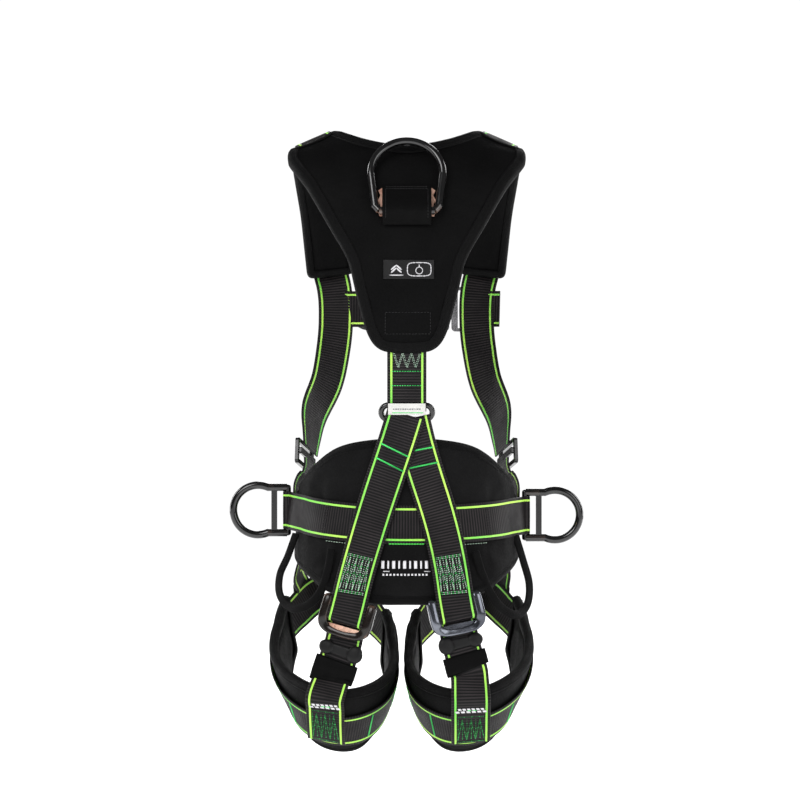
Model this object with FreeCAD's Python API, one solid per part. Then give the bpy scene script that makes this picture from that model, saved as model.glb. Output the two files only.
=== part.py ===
"""Full-body climbing harness, as worn: back yoke pad, dorsal ring, waist belt, flank and leg straps.

Axes: +X is the wearer's right, +Y the wearer's front, +Z up.  The origin is the middle of the waist.
Every soft piece is laid over one smooth body form, at its own height above the skin.
"""
import FreeCAD, Part
import math
import os

V = FreeCAD.Vector

# ---------------------------------------------------------------- driving dimensions (mm)
WEB = 45.0                 # width of the main webbing
WEB_T = 2.0                # thickness of the webbing
POWER = 2.4                # roundness of the body's level sections

LINING = (1.0, 7.5)        # heights of the yoke's foam lining above the skin
INSIDE = 9.0               # height of the webbing that runs inside the yoke
COVER = (10.5, 13.5)       # heights of the yoke's outer cover
BELT_PAD = (1.0, 12.0)
BELT_H = 13.3              # belt webbing, lying on the belt pad
DIAGONAL_H = 15.7          # diagonal straps, lying on the belt webbing
CROSS_H = 18.4             # left diagonal where it lies on the right one
FRONT_H = 3.0              # webbing that lies straight on the chest and belly

DORSAL_R = 41.2            # middle radius of the dorsal ring
DORSAL_ROD = 4.5
DORSAL_LEG = 46.0          # from its bar to the middle of its bow
DORSAL_BAR_Z = 352.0       # height of its bar on the back
DORSAL_PLATE_T = 2.8       # thickness of the keeper plate behind it
FLAP_W = 56.0              # flap that covers its bar
FLAP_RISE = 31.5           # from the bar to the flap's upper edge
FLAP_DROP = 14.0           # and to its lower edge
SIDE_R = 29.7              # middle radius of the side rings
SIDE_ROD = 4.7
SIDE_ARM = 27.2            # half the width between a side ring's arms
SIDE_REACH = 36.0          # from its hinge bar to the middle of its bow
SIDE_CROSS = 16.5          # from its hinge bar to its cross bar
BAR_ROD = 3.5              # bar that the webbing folds round
FOLD_R = 5.2               # middle radius of a webbing fold round such a bar
SIDE_BAR_X = 142.0         # the side rings' hinge bars
SIDE_Z = {"left": 12.0, "right": 6.0}
SIGN = {"left": -1.0, "right": 1.0}
LEG_X = {"left": -84.0, "right": 72.0}

LINK_HALF = 21.0           # lower ring: half its length, half its height, rod radius
LINK_RISE = 8.4
LINK_ROD = 3.4
STERNAL_X = -41.0          # small ring on the chest strap
STERNAL_HALF = 24.0
STERNAL_ROD = 3.0

REAR_FRAME = (61, 44, 5)   # width, length and thickness of the rear adjusters
REAR_WINDOW = (48, 28, -1)
REAR_ROD = 2.4             # bar inside them that the webbing turns round
REAR_BAR = (55, 6, 2.6)    # sliding bar behind them
FLANK_FRAME = (59, 32, 4)
FLANK_WINDOW = (48, 21, 0)
FLANK_BAR = (54, 8, 2.8)
LEG_FRAME = (60, 46, 4)    # pass-through buckles of the leg loops
LEG_WINDOW = (48, 34, 0)
LEG_PLATE = (45, 24, 3.2)
LEG_PIN = 1.6
LEG_PIN_Z = 10.0
BUCKLE_BASE = (56, 70, 2.4)
BUCKLE_COVER = (38, 50, 10.2)
BUCKLE_TONGUE = (26, 3, 44)
BUCKLE_HEAD = (56, 24, 3)
BUCKLE_SLOT = (47.5, 8)    # slot for the webbing in the base and the tongue
LABEL_T = 0.8
GEAR_LOOP_W = 11.0
GEAR_LOOP_T = 1.8
FRONT_RISER_W = 30.0

# level sections of the body: height, half width, back, front
BODY = [(-320, 138, -110, 80), (-200, 149, -116, 84), (-150, 150, -125, 90), (-100, 138, -119, 96),
        (-50, 124, -104, 100), (0, 119, -93, 102), (50, 118, -87, 104), (100, 122, -89, 108),
        (150, 137, -98, 112), (200, 153, -109, 117), (250, 168, -118, 120), (300, 182, -123, 116),
        (340, 206, -122, 104), (375, 220, -114, 86), (400, 203, -103, 68), (420, 166, -91, 52),
        (433, 122, -82, 40), (450, 86, -72, 28), (472, 63, -62, 14), (505, 56, -56, 6)]


# ---------------------------------------------------------------- the body form
def section(z):
    """Half width, middle y and half depth of the body at one height."""
    z = min(max(z, BODY[0][0] + 0.01), BODY[-1][0] - 0.01)
    i = max(k for k in range(len(BODY) - 1) if BODY[k][0] <= z)
    low, high = BODY[i], BODY[i + 1]
    before = BODY[max(i - 1, 0)]
    after = BODY[min(i + 2, len(BODY) - 1)]
    span = high[0] - low[0]
    t = (z - low[0]) / span
    values = []
    for k in (1, 2, 3):
        rise_low = (high[k] - before[k]) / (high[0] - before[0]) * span
        rise_high = (after[k] - low[k]) / (after[0] - low[0]) * span
        values.append((2 * t**3 - 3 * t**2 + 1) * low[k] + (t**3 - 2 * t**2 + t) * rise_low
                      + (3 * t**2 - 2 * t**3) * high[k] + (t**3 - t**2) * rise_high)
    half, back, front = values
    return half, (back + front) / 2, (front - back) / 2


def depth_ratio(p):
    """Nought on the skin, negative inside the body."""
    half, middle, depth = section(p.z)
    return (abs(p.x / half)**POWER + abs((p.y - middle) / depth)**POWER)**(1 / POWER) - 1


def slope(p):
    step = 0.25
    axes = (V(step, 0, 0), V(0, step, 0), V(0, 0, step))
    return V(*[(depth_ratio(p + d) - depth_ratio(p - d)) / (2 * step) for d in axes])


def snap(p):
    """Nearest point of the skin."""
    for _ in range(12):
        g = slope(p)
        p = p - g * (depth_ratio(p) / g.Length**2)
    return p


def outward(p):
    n = slope(p)
    return n.normalize()


def back_y(x, z):
    half, middle, depth = section(z)
    return middle - depth * max(1 - abs(x / half)**POWER, 0)**(1 / POWER)


def front_y(x, z):
    half, middle, depth = section(z)
    return middle + depth * max(1 - abs(x / half)**POWER, 0)**(1 / POWER)


def crest(x):
    """Height of the shoulder line at one x."""
    low, high = 380.0, 500.0
    while high - low > 0.05:
        z = (low + high) / 2
        low, high = (z, high) if section(z)[0] > abs(x) else (low, z)
    return low


def at_back(x, z, height):
    return (x, back_y(x, z), z, height)


def at_front(x, z, height):
    return (x, front_y(x, z), z, height)


def at_side(turn, z, height):
    """turn in degrees: 0 at the spine, 90 at the right side, 180 at the front."""
    half, middle, depth = section(z)
    s, c = math.sin(math.radians(turn)), math.cos(math.radians(turn))
    x = half * math.copysign(abs(s)**(2 / POWER), s)
    y = middle - depth * math.copysign(abs(c)**(2 / POWER), c)
    return (x, y, z, height)


# ---------------------------------------------------------------- strips of webbing
def smooth(points, count):
    """Even steps along a smooth line through the given points."""
    dense = []
    for i in range(len(points) - 1):
        a, b = points[i], points[i + 1]
        before = points[i - 1] if i else tuple(2 * m - n for m, n in zip(a, b))
        after = points[i + 2] if i + 2 < len(points) else tuple(2 * n - m for m, n in zip(a, b))
        for k in range(24):
            t = k / 24
            dense.append(tuple(0.5 * (2 * q + (r - p) * t + (2 * p - 5 * q + 4 * r - s) * t**2
                                      + (3 * q - p - 3 * r + s) * t**3)
                               for p, q, r, s in zip(before, a, b, after)))
    dense.append(points[-1])
    run = [0.0]
    for a, b in zip(dense, dense[1:]):
        run.append(run[-1] + math.dist(a[:3], b[:3]))
    even = []
    k = 0
    for step in range(count):
        want = run[-1] * step / (count - 1)
        while k < len(run) - 2 and run[k + 1] < want:
            k += 1
        t = (want - run[k]) / max(run[k + 1] - run[k], 1e-9)
        even.append(tuple(a + (b - a) * t for a, b in zip(dense[k], dense[k + 1])))
    return even


def lay(route, count):
    """Points above the skin under a route of (x, y, z, height), each with its normal."""
    path = []
    for x, y, z, height in smooth(route, count):
        p = snap(V(x, y, z))
        n = outward(p)
        path.append((p + n * height, n))
    return path


def fold(centre, out, along, radius, first, last, facing=1, steps=9):
    """Points round a bar, from angle first to last, measured from out towards along."""
    path = []
    for k in range(steps):
        a = math.radians(first + (last - first) * k / (steps - 1))
        n = out * math.cos(a) + along * math.sin(a)
        path.append((centre + n * radius, n * facing))
    return path


def bridge(a, b, steps):
    """Even points strictly between two (point, normal) pairs."""
    path = []
    for k in range(1, steps + 1):
        t = k / (steps + 1)
        n = a[1] * (1 - t) + b[1] * t
        path.append((a[0] * (1 - t) + b[0] * t, n.normalize()))
    return path


def ribbon(path, width=WEB, thick=WEB_T, ruled=True):
    """A flat strip along a path of (point, normal)."""
    wires = []
    last = len(path) - 1
    for i, (p, n) in enumerate(path):
        along = path[min(i + 1, last)][0] - path[max(i - 1, 0)][0]
        along.normalize()
        across = n.cross(along)
        across.normalize()
        up = across.cross(along)
        up.normalize()
        a, b = across * (width / 2), up * (thick / 2)
        wires.append(Part.makePolygon([p - a - b, p + a - b, p + a + b, p - a + b, p - a - b]))
    return Part.makeLoft(wires, True, ruled)


def slab(sections):
    """A padded sheet through flat sections, each (inner points, outer points)."""
    wires = []
    for inner, outer in sections:
        low, high = Part.BSplineCurve(), Part.BSplineCurve()
        low.interpolate(inner)
        high.interpolate(list(reversed(outer)))
        wires.append(Part.Wire([low.toShape(), Part.makeLine(inner[-1], outer[-1]), high.toShape(),
                                Part.makeLine(outer[0], inner[0])]))
    return Part.makeLoft(wires, True, True)


def flatten(points, origin, normal):
    return [p - normal * (p - origin).dot(normal) for p in points]


# ---------------------------------------------------------------- rods, rings and frames
def rod(a, b, radius):
    return Part.makeCylinder(radius, (b - a).Length, a, b - a)


def bent_rod(points, radius):
    """Straight rods with round corners."""
    pieces = [rod(a, b, radius) for a, b in zip(points, points[1:])]
    pieces += [Part.makeSphere(radius, p) for p in points[1:-1]]
    return pieces


def rod_arc(centre, radius, first, last, rod_radius, across, up):
    """A bent rod on a circle: a torus piece from angle first to last."""
    start = across * math.cos(math.radians(first)) + up * math.sin(math.radians(first))
    normal = across.cross(up)
    arc = Part.Arc(*[centre + across * (radius * math.cos(math.radians(a)))
                     + up * (radius * math.sin(math.radians(a))) for a in (first, (first + last) / 2, last)])
    spine = Part.Wire([arc.toShape()])
    tangent = normal.cross(start) * math.copysign(1, last - first)
    profile = Part.Wire([Part.Circle(centre + start * radius, tangent, rod_radius).toShape()])
    return spine.makePipeShell([profile], True, True)


def fuse(pieces):
    return pieces[0].multiFuse(pieces[1:]).removeSplitter()


def place(shape, origin, along, out):
    """From the piece's own axes (x across, y out from the body, z along) to the body."""
    along = V(along).normalize()
    out = (out - along * out.dot(along)).normalize()
    across = out.cross(along)
    matrix = FreeCAD.Matrix(across.x, out.x, along.x, origin.x, across.y, out.y, along.y, origin.y,
                            across.z, out.z, along.z, origin.z, 0, 0, 0, 1)
    return shape.transformed(matrix, True)


def block(width, thick, length, x=0.0, y=0.0, z=0.0):
    """A block centred on x, y and z."""
    return Part.makeBox(width, thick, length, V(x - width / 2, y - thick / 2, z - length / 2))


def window_plate(width, length, thick, windows, corner):
    """A plate with rounded corners and windows of (width, length, z)."""
    plate = block(width, thick, length)
    edges = [e for e in plate.Edges if abs(e.Vertexes[0].Point.y - e.Vertexes[1].Point.y) > thick / 2]
    plate = plate.makeFillet(corner, edges)
    for w, l, z in windows:
        plate = plate.cut(block(w, thick * 3, l, z=z))
    return plate


parts = {}


# ---------------------------------------------------------------- back yoke
YOKE_BOTTOM = [(0, 201), (20, 202), (30, 205), (38, 213), (44, 226), (50, 247), (55, 266), (59, 284),
               (63.5, 302), (72.5, 320), (83, 337), (95.5, 358), (109, 380), (121, 396), (134, 412)]
YOKE_TOP = [(0, 431), (30, 435), (50, 440), (66, 446), (82, 454), (134, 454)]


def from_list(table, x):
    x = abs(x)
    for (x0, z0), (x1, z1) in zip(table, table[1:]):
        if x <= x1:
            return z0 + (z1 - z0) * (x - x0) / (x1 - x0)
    return table[-1][1]


def yoke_top(x):
    return min(from_list(YOKE_TOP, x), crest(x) - 4)


def yoke_columns(inset):
    xs = [0, 10] + [x for x, _ in YOKE_BOTTOM[1:-1]] + [YOKE_BOTTOM[-1][0] - inset]
    return [-x for x in reversed(xs[1:])] + xs


def yoke_sheet(heights, inset):
    """One layer of the yoke, inset from the outline by a margin."""
    sections = []
    for x in yoke_columns(inset):
        low = from_list(YOKE_BOTTOM, x) + inset
        top = yoke_top(x) - inset
        rows = [low + (top - low) * k / 6 for k in range(7)]
        skin = [V(x, back_y(x, z), z) for z in rows]
        both = [[p + outward(p) * h for p in skin] for h in heights]
        sections.append([flatten(side, V(x, 0, 0), V(1, 0, 0)) for side in both])
    return slab(sections)


def edge_strip(points, height, width, stand_off, thick=2.0):
    """A tape on edge along skin points, facing away from the sheet that it binds."""
    path = []
    last = len(points) - 1
    for i, p in enumerate(points):
        along = points[min(i + 1, last)] - points[max(i - 1, 0)]
        n = outward(p)
        away = along.cross(n)
        away.normalize()
        path.append((p + n * height + away * stand_off, away))
    return ribbon(path, width, thick)


def build_yoke():
    parts["back_pad_lining"] = yoke_sheet(LINING, 0.0)
    parts["back_pad_cover"] = yoke_sheet(COVER, 1.0)
    columns = yoke_columns(0.0)
    low = [V(x, back_y(x, z), z) for x, z in ((x, from_list(YOKE_BOTTOM, x)) for x in columns)]
    top = [V(x, back_y(x, z), z) for x, z in ((x, yoke_top(x)) for x in reversed(columns[3:-3]))]
    height = (LINING[0] + COVER[1]) / 2
    width = COVER[1] - LINING[0] + 1
    parts["back_pad_binding"] = Part.Compound([edge_strip(low, height, width, 1.4),
                                               edge_strip(top, height, width, 1.4)])


def at_top(x, y, height):
    low, high = 370.0, 500.0
    while high - low > 0.05:
        z = (low + high) / 2
        low, high = (z, high) if depth_ratio(V(x, y, z)) < 0 else (low, z)
    return (x, y, low, height)


def build_shoulders():
    for side, s in SIGN.items():
        pad = [at_top(s * 108, -44, 6.5), at_top(s * 108, -20, 6.5), at_top(s * 107, 8, 6.5),
               at_front(s * 104, 405, 6.5), at_front(s * 99, 370, 6.5), at_front(s * 95, 330, 6.5),
               at_front(s * 92, 300, 6.5)]
        parts["shoulder_pad_" + side] = ribbon(lay(pad, 22), 58, 10.5)
        strap = [at_back(s * 22, 372, INSIDE), at_back(s * 45, 392, INSIDE), at_back(s * 72, 414, INSIDE),
                 at_back(s * 93, 430, 9.4), at_top(s * 103, -44, 12.8), at_top(s * 106, -20, 15.6),
                 at_top(s * 106, 8, 13.6), at_front(s * 103, 403, 13.2), at_front(s * 98, 368, 13.2),
                 at_front(s * 94, 330, 13.2), at_front(s * 91, 302, 13.2), at_front(s * 88, 280, 5),
                 at_front(s * 87, 250, FRONT_H), at_front(s * 89, 215, FRONT_H),
                 at_front(s * 97, 168, FRONT_H), at_side(s * 122, 125, FRONT_H),
                 at_side(s * 110, 92, 2.4), at_side(s * 108, 83, 2.4)]
        parts["shoulder_strap_" + side] = ribbon(lay(strap, 44))


# ---------------------------------------------------------------- dorsal ring
def dorsal_frame():
    """Bar centre, direction up the back and outward direction of the dorsal ring."""
    bar = V(0, back_y(0, DORSAL_BAR_Z), DORSAL_BAR_Z)
    up = V(0, back_y(0, 398), 398) - bar
    up.normalize()
    out = V(1, 0, 0).cross(up)
    return bar + out * (COVER[1] + 3.6 + DORSAL_ROD), up, out


def build_dorsal():
    bar, up, out = dorsal_frame()
    side = V(1, 0, 0)
    centre = bar + up * DORSAL_LEG
    ring = [rod_arc(centre, DORSAL_R, 0, 180, DORSAL_ROD, side, up)]
    low = 36.5
    for s in (1, -1):
        ring += bent_rod([centre + side * (s * DORSAL_R), bar + side * (s * low) + up * 6,
                          bar + side * (s * (low - 5))], DORSAL_ROD)
        ring.append(Part.makeSphere(DORSAL_ROD, centre + side * (s * DORSAL_R)))
    ring.append(rod(bar - side * (low - 5), bar + side * (low - 5), DORSAL_ROD))
    parts["dorsal_d_ring"] = fuse(ring)
    # moulded keeper plate behind the ring, with a waved outer edge
    teeth = [V(31.0, 0, -4), V(33.5, 0, 3), V(30.0, 0, 9), V(33.0, 0, 15), V(30.0, 0, 21), V(32.5, 0, 27),
             V(29.0, 0, 30)]
    outline = teeth + [V(-p.x, 0, p.z) for p in reversed(teeth)]
    plate = Part.Face(Part.makePolygon(outline + [outline[0]])).extrude(V(0, DORSAL_PLATE_T, 0))
    for z in (4, 20):
        plate = plate.cut(block(46, 12, 6, z=z))
    parts["dorsal_keeper"] = place(plate, bar - out * (3.1 + DORSAL_ROD), up, out)
    # fabric flap over the ring's bar: flat above, wrapped round the bar below
    r = DORSAL_ROD + 0.5 + WEB_T / 2
    start = bar + up * FLAP_RISE - out * 2.0
    path = [(start, out)]
    path += bridge(path[0], (bar + out * r + up * 6, out), 4)
    path += [(bar + out * r + up * 3, out)]
    path += fold(bar, out, -up, r, 0, 60, steps=6)
    end = (bar - out * 6.9 - up * FLAP_DROP, out)
    path += bridge(path[-1], end, 2) + [end]
    parts["dorsal_web_flap"] = ribbon(path, FLAP_W)


# ---------------------------------------------------------------- straps down the back
def build_centre():
    route = [at_back(0, 346, INSIDE), at_back(0, 290, INSIDE), at_back(0, 215, INSIDE),
             at_back(0, 195, 9), at_back(0, 168, 12), at_back(0, 150, 15.2), at_back(0, 134, 15.5)]
    parts["centre_strap"] = ribbon(lay(route, 22))
    point = V(0, back_y(0, 132), 132)
    out = outward(point)
    side = V(1, 0, 0)
    up = out.cross(side)
    up = up if up.z > 0 else up * -1
    middle = point + out * 10.6
    reach = side * LINK_HALF
    link = [rod(middle - reach + up * k, middle + reach + up * k, LINK_ROD) for k in (LINK_RISE, -LINK_RISE)]
    link.append(rod_arc(middle + reach, LINK_RISE, -90, 90, LINK_ROD, side, up))
    link.append(rod_arc(middle - reach, LINK_RISE, 90, 270, LINK_ROD, side, up))
    parts["lower_ring"] = fuse(link)
    printed = ribbon(lay([at_back(2, 303, 14.3), at_back(2, 284, 14.3)], 4), 58, LABEL_T)
    wrapped = ribbon(lay([at_back(0, 144, 19.8), at_back(0, 131, 20.2)], 3), 43, LABEL_T)
    parts["sewn_labels"] = Part.Compound([printed, wrapped])


ADJUSTER = {"left": (-65.0, -108.0), "right": (54.0, -104.0)}     # rear leg adjusters: x and z
DIAGONAL = {"left": [(-1, 131), (-8, 105), (-16, 78), (-25, 48), (-33.5, 18), (-44, -20), (-53, -55),
                     (-59, -75)],
            "right": [(4, 126), (8, 105), (15, 78), (23, 48), (32, 18), (41, -20), (47.5, -55),
                      (50.5, -73)]}
CROSSING = {"left": (18.3, CROSS_H, CROSS_H, 16.4), "right": (15.6, 15.7, 15.7, 15.7)}


def adjuster_frame(side):
    x, z = ADJUSTER[side]
    p = V(x, back_y(x, z), z)
    out = outward(p)
    above, below = DIAGONAL[side][-1], (x * 1.12, z - 22)
    along = V(above[0] - below[0], 0, above[1] - below[1])
    along = (along - out * along.dot(out)).normalize()
    return p + out * 15.5, along, out


def build_diagonals():
    for side in SIGN:
        centre, along, out = adjuster_frame(side)
        heights = CROSSING[side] + (DIAGONAL_H,) * 4
        route = [at_back(x, z, h) for (x, z), h in zip(DIAGONAL[side], heights)]
        path = lay(route, 24)
        rod_at = centre - along * 3
        r = REAR_ROD + 0.5 + WEB_T / 2
        over = [(centre + along * k + out * r, out) for k in (27, 16, 6, -1)]
        path += over + fold(rod_at, out, -along, r, 0, 180) + [(rod_at + along * 12 - out * r, -out)]
        parts["diagonal_strap_" + side] = ribbon(path)
        frame = window_plate(*REAR_FRAME, [REAR_WINDOW], 5)
        frame = frame.fuse(Part.makeCylinder(REAR_ROD, 52, V(-26, 0, -3), V(1, 0, 0)))
        parts["rear_adjuster_" + side] = place(frame, centre, along, out)
        bar = window_plate(*REAR_BAR, [], 2)
        parts["rear_slide_bar_" + side] = place(bar, centre - along * 13 - out * 4.6, along, out)


# ---------------------------------------------------------------- waist belt
BELT_TOP = [(0, 98), (10, 97.5), (20, 95), (30, 91), (40, 84), (50, 73), (60, 62), (70, 52), (80, 44),
            (90, 36), (97, 26)]
BELT_BOTTOM = [(0, -90), (10, -90), (20, -87.5), (30, -82), (40, -76), (50, -67), (60, -59), (70, -52),
               (80, -46), (90, -38), (97, -28)]


BELT_BACK_Z = -2.0         # the belt's middle line at the spine
BELT_FRONT_Z = 8.0         # and at the waist buckle


def belt_z(turn):
    """Height of the belt's middle line, which rises from the spine to each side ring."""
    ring = SIDE_Z["left" if turn < 0 else "right"]
    share = abs(turn) / 80
    if share < 1:
        return BELT_BACK_Z + (ring - BELT_BACK_Z) * share**1.5
    return ring + (BELT_FRONT_Z - ring) * (share - 1)


def build_belt_pad():
    turns = [t for t, _ in BELT_TOP]
    turns = [-t for t in reversed(turns[1:])] + turns
    sections = []
    for turn in turns:
        low, top = from_list(BELT_BOTTOM, turn), from_list(BELT_TOP, turn)
        skin = [V(*at_side(turn, low + (top - low) * k / 6, 0)[:3]) for k in range(7)]
        n = outward(skin[3])
        across = V(0, 0, 1).cross(n).normalize()
        both = [[p + outward(p) * h for p in skin] for h in BELT_PAD]
        sections.append([flatten(part, skin[3], across) for part in both])
    parts["belt_pad"] = slab(sections)
    strips = []
    for table, order in ((BELT_TOP, -1), (BELT_BOTTOM, 1)):
        rim = [(order * turns[0], 0.0)] + [(order * t, from_list(table, t)) for t in turns]
        rim.append((order * turns[-1], 0.0))
        edge = [V(*at_side(t, z, 0)[:3]) for t, z in rim]
        strips.append(edge_strip(edge, 6.5, 12.5, 1.4))
    parts["belt_pad_binding"] = Part.Compound(strips)


def build_belt_webbing():
    back = V(0, -1, 0)
    route = [at_side(t, belt_z(t), BELT_H) for t in range(-66, 67, 12)]
    middle = lay(route, 24)
    ends = {}
    for side, s in SIGN.items():
        bar = V(s * SIDE_BAR_X, 0, SIDE_Z[side])
        ends[side] = fold(bar, back, V(s, 0, 0), FOLD_R, 0, 205, steps=11)
    path = list(reversed(ends["left"])) + bridge(ends["left"][0], middle[0], 4) + middle
    path += bridge(middle[-1], ends["right"][0], 4) + ends["right"]
    parts["belt_webbing"] = ribbon(path)


def build_side_rings():
    for side, s in SIGN.items():
        out, up = V(s, 0, 0), V(0, 0, 1)
        bar = V(s * SIDE_BAR_X, 0, SIDE_Z[side])
        centre = bar + out * SIDE_REACH
        reach = math.degrees(math.asin(SIDE_ARM / SIDE_R))
        ring = [rod_arc(centre, SIDE_R, reach - 180, 180 - reach, SIDE_ROD, out, up)]
        meet = math.sqrt(SIDE_R**2 - SIDE_ARM**2)
        for k in (SIDE_ARM, -SIDE_ARM):
            ring += bent_rod([bar + out + up * k, bar + up * k, bar], BAR_ROD)
            ring.append(rod(centre - out * meet + up * k, bar + out + up * k, SIDE_ROD))
            ring.append(Part.makeSphere(SIDE_ROD, centre - out * meet + up * k))
        ring.append(block(7, 6, 2 * SIDE_ARM, bar.x + s * SIDE_CROSS, 0, bar.z))
        parts["side_d_ring_" + side] = fuse(ring)


def build_belt_front():
    """Belt ends from under the pad's sides to the two halves of the waist buckle."""
    for side, s in SIGN.items():
        reach = 154 if side == "left" else 150
        turns = [84, 90, 96, 104, 114, 126, 138, reach]
        heights = [BELT_H, BELT_H, BELT_H, 9, FRONT_H, FRONT_H, FRONT_H, FRONT_H]
        route = [at_side(s * t, belt_z(t), h) for t, h in zip(turns, heights)]
        path = lay(route, 22)
        parts["belt_front_" + side] = ribbon(end_on_buckle(path, "waist", side))


# ---------------------------------------------------------------- quick-connect buckles
BUCKLE_AT = {"chest": (26.0, 258.0), "waist": (0.0, 8.0)}
BUCKLE_H = 9.5
HOUSING_BAR = -35.0        # inner edge of the housing's strap bar, along the buckle
TONGUE_BAR = 46.5          # inner edge of the tongue's strap bar


def buckle_frame(name):
    x, z = BUCKLE_AT[name]
    p = V(x, front_y(x, z), z)
    out = outward(p)
    along = V(1, 0, 0)
    along = (along - out * along.dot(out)).normalize()
    return p + out * BUCKLE_H, along, out


def end_on_buckle(path, name, side):
    """Lead a strap under its bar, up through the slot and back over itself."""
    origin, along, out = buckle_frame(name)
    s = SIGN[side]
    edge = HOUSING_BAR if side == "left" else TONGUE_BAR
    level = -5.0 if side == "left" else 0.0
    r = 2.6 if side == "left" else 3.0
    centre = origin + along * (edge - s * 0.5) + out * level
    inward = along * -s
    turn = fold(centre, out, inward, r, 180, 0, facing=-1)
    tail = (centre + out * (r + 0.2) - inward * 13, out)
    join = (centre - out * r - inward * 12, out)
    path = path + bridge(path[-1], join, 2) + [join]
    tail = (tail[0], turn[-1][1])
    return path + turn + bridge(turn[-1], tail, 1) + [tail]


def build_buckle(name):
    origin, along, out = buckle_frame(name)
    base = window_plate(*BUCKLE_BASE, [(*BUCKLE_SLOT, -24)], 6)
    base = base.transformed(FreeCAD.Placement(V(0, -5, -7), FreeCAD.Rotation()).toMatrix(), True)
    cover = window_plate(*BUCKLE_COVER, [], 4)
    cover = cover.makeFillet(1.6, [e for e in cover.Edges if e.BoundBox.YMin > 5])
    cover = cover.transformed(FreeCAD.Placement(V(0, 1.5, 0), FreeCAD.Rotation()).toMatrix(), True)
    cover = cover.cut(block(29, 5, 60))
    pins, levers = [], {}
    for side, s in SIGN.items():
        pivot = V(s * 25.5, 0, -14)
        pins.append(Part.makeCylinder(1.9, 10.4, pivot - V(0, 4.4, 0), V(0, 1, 0)))
        pins.append(Part.makeCylinder(3.2, 1.2, pivot + V(0, 5.6, 0), V(0, 1, 0)))
        corners = [V(22.4, 0, -19), V(29.5, 0, -19), V(31.5, 0, 2), V(30.5, 0, 17), V(26.6, 0, 20),
                   V(25.2, 0, 6), V(23.0, 0, -8)]
        corners = [V(s * c.x, -3.4, c.z) for c in corners]
        lever = Part.Face(Part.makePolygon(corners + [corners[0]])).extrude(V(0, 8.4, 0))
        levers[side] = lever.cut(Part.makeCylinder(1.96, 20, pivot - V(0, 10, 0), V(0, 1, 0)))
    base = fuse([base] + pins)
    tongue = block(*BUCKLE_TONGUE, z=13)
    head = window_plate(*BUCKLE_HEAD, [(*BUCKLE_SLOT, 0)], 5)
    head = head.transformed(FreeCAD.Placement(V(0, 0, 42.5), FreeCAD.Rotation()).toMatrix(), True)
    tongue = tongue.fuse(head).removeSplitter()
    pieces = {"base": base, "cover": cover, "tongue": tongue, "lever_upper": levers["left"],
              "lever_lower": levers["right"]}
    for piece, shape in pieces.items():
        parts[name + "_buckle_" + piece] = place(shape, origin, along, out)


def build_chest_straps():
    """Left half with the tunnel that holds the small ring; right half, on the tongue."""
    route = [at_front(-98, 258, 5.2), at_front(-80, 258, 5.0), at_front(-63, 258, FRONT_H),
             at_front(-45, 258, FRONT_H)]
    strap = ribbon(end_on_buckle(lay(route, 9), "chest", "left"))
    bar, up, out = sternal_frame()
    side = V(1, 0, 0)
    side = (side - out * side.dot(out)).normalize()
    r = STERNAL_ROD + 0.4 + WEB_T / 2
    feet = [(bar + side * k - out * 3.7, out) for k in (-15, -7, 7, 15)]
    arch = feet[:2] + fold(bar, out, side, r, -65, 65, steps=7) + feet[2:]
    parts["chest_strap_left"] = Part.Compound([strap, ribbon(arch, 38)])
    path = lay([at_front(114, 258, 5.2), at_front(107, 258, 5.2), at_front(100, 258, 5.2)], 4)
    parts["chest_strap_right"] = ribbon(end_on_buckle(path, "chest", "right"))


# ---------------------------------------------------------------- flank adjusters
FLANK_TURN = 106.0
FLANK_Z = 76.0


def flank_frame(side):
    s = SIGN[side]
    p = V(*at_side(s * FLANK_TURN, FLANK_Z, 0)[:3])
    out = outward(p)
    above = V(*at_side(s * (FLANK_TURN + 8), FLANK_Z + 40, 0)[:3])
    below = V(*at_side(s * (FLANK_TURN - 6), FLANK_Z - 36, 0)[:3])
    along = above - below
    along = (along - out * along.dot(out)).normalize()
    return p + out * 9.6, along, out


def build_flanks():
    for side, s in SIGN.items():
        centre, along, out = flank_frame(side)
        frame = window_plate(*FLANK_FRAME, [FLANK_WINDOW], 4)
        parts["flank_adjuster_" + side] = place(frame, centre, along, out)
        bar = window_plate(*FLANK_BAR, [], 2)
        parts["flank_slide_bar_" + side] = place(bar, centre - out * 3.8, along, out)
        route = [at_side(s * (FLANK_TURN - 1), FLANK_Z - 6, 2.4),
                 at_side(s * (FLANK_TURN - 2), FLANK_Z - 15, 2.8),
                 at_side(s * (FLANK_TURN - 3), FLANK_Z - 26, 7.5),
                 at_side(s * (FLANK_TURN - 7), FLANK_Z - 42, 15.8),
                 at_side(s * (FLANK_TURN - 10), FLANK_Z - 62, 15.8),
                 at_side(s * (FLANK_TURN - 12), FLANK_Z - 84, 15.8)]
        parts["flank_strap_" + side] = ribbon(lay(route, 14))


# ---------------------------------------------------------------- gear loops
GEAR_LOOP = {"left": [(-131, -36, -14), (-140, -44, -40), (-149, -54, -62), (-148, -67, -84),
                      (-134, -80, -98), (-114, -92, -93), (-99, -99, -76), (-91, -101, -52),
                      (-87, -99, -28)],
             "right": [(129, -38, -16), (137, -46, -44), (144, -54, -72), (141, -66, -95),
                       (128, -80, -106), (110, -92, -97), (96, -100, -78), (86, -103, -54),
                       (79, -103, -30)]}


def build_gear_loops():
    for side in SIGN:
        path = [(V(x, y, z), V(x * 0.35, y - 40, 0).normalize()) for x, y, z in smooth(GEAR_LOOP[side], 26)]
        parts["gear_loop_" + side] = ribbon(path, GEAR_LOOP_W, GEAR_LOOP_T)


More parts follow.
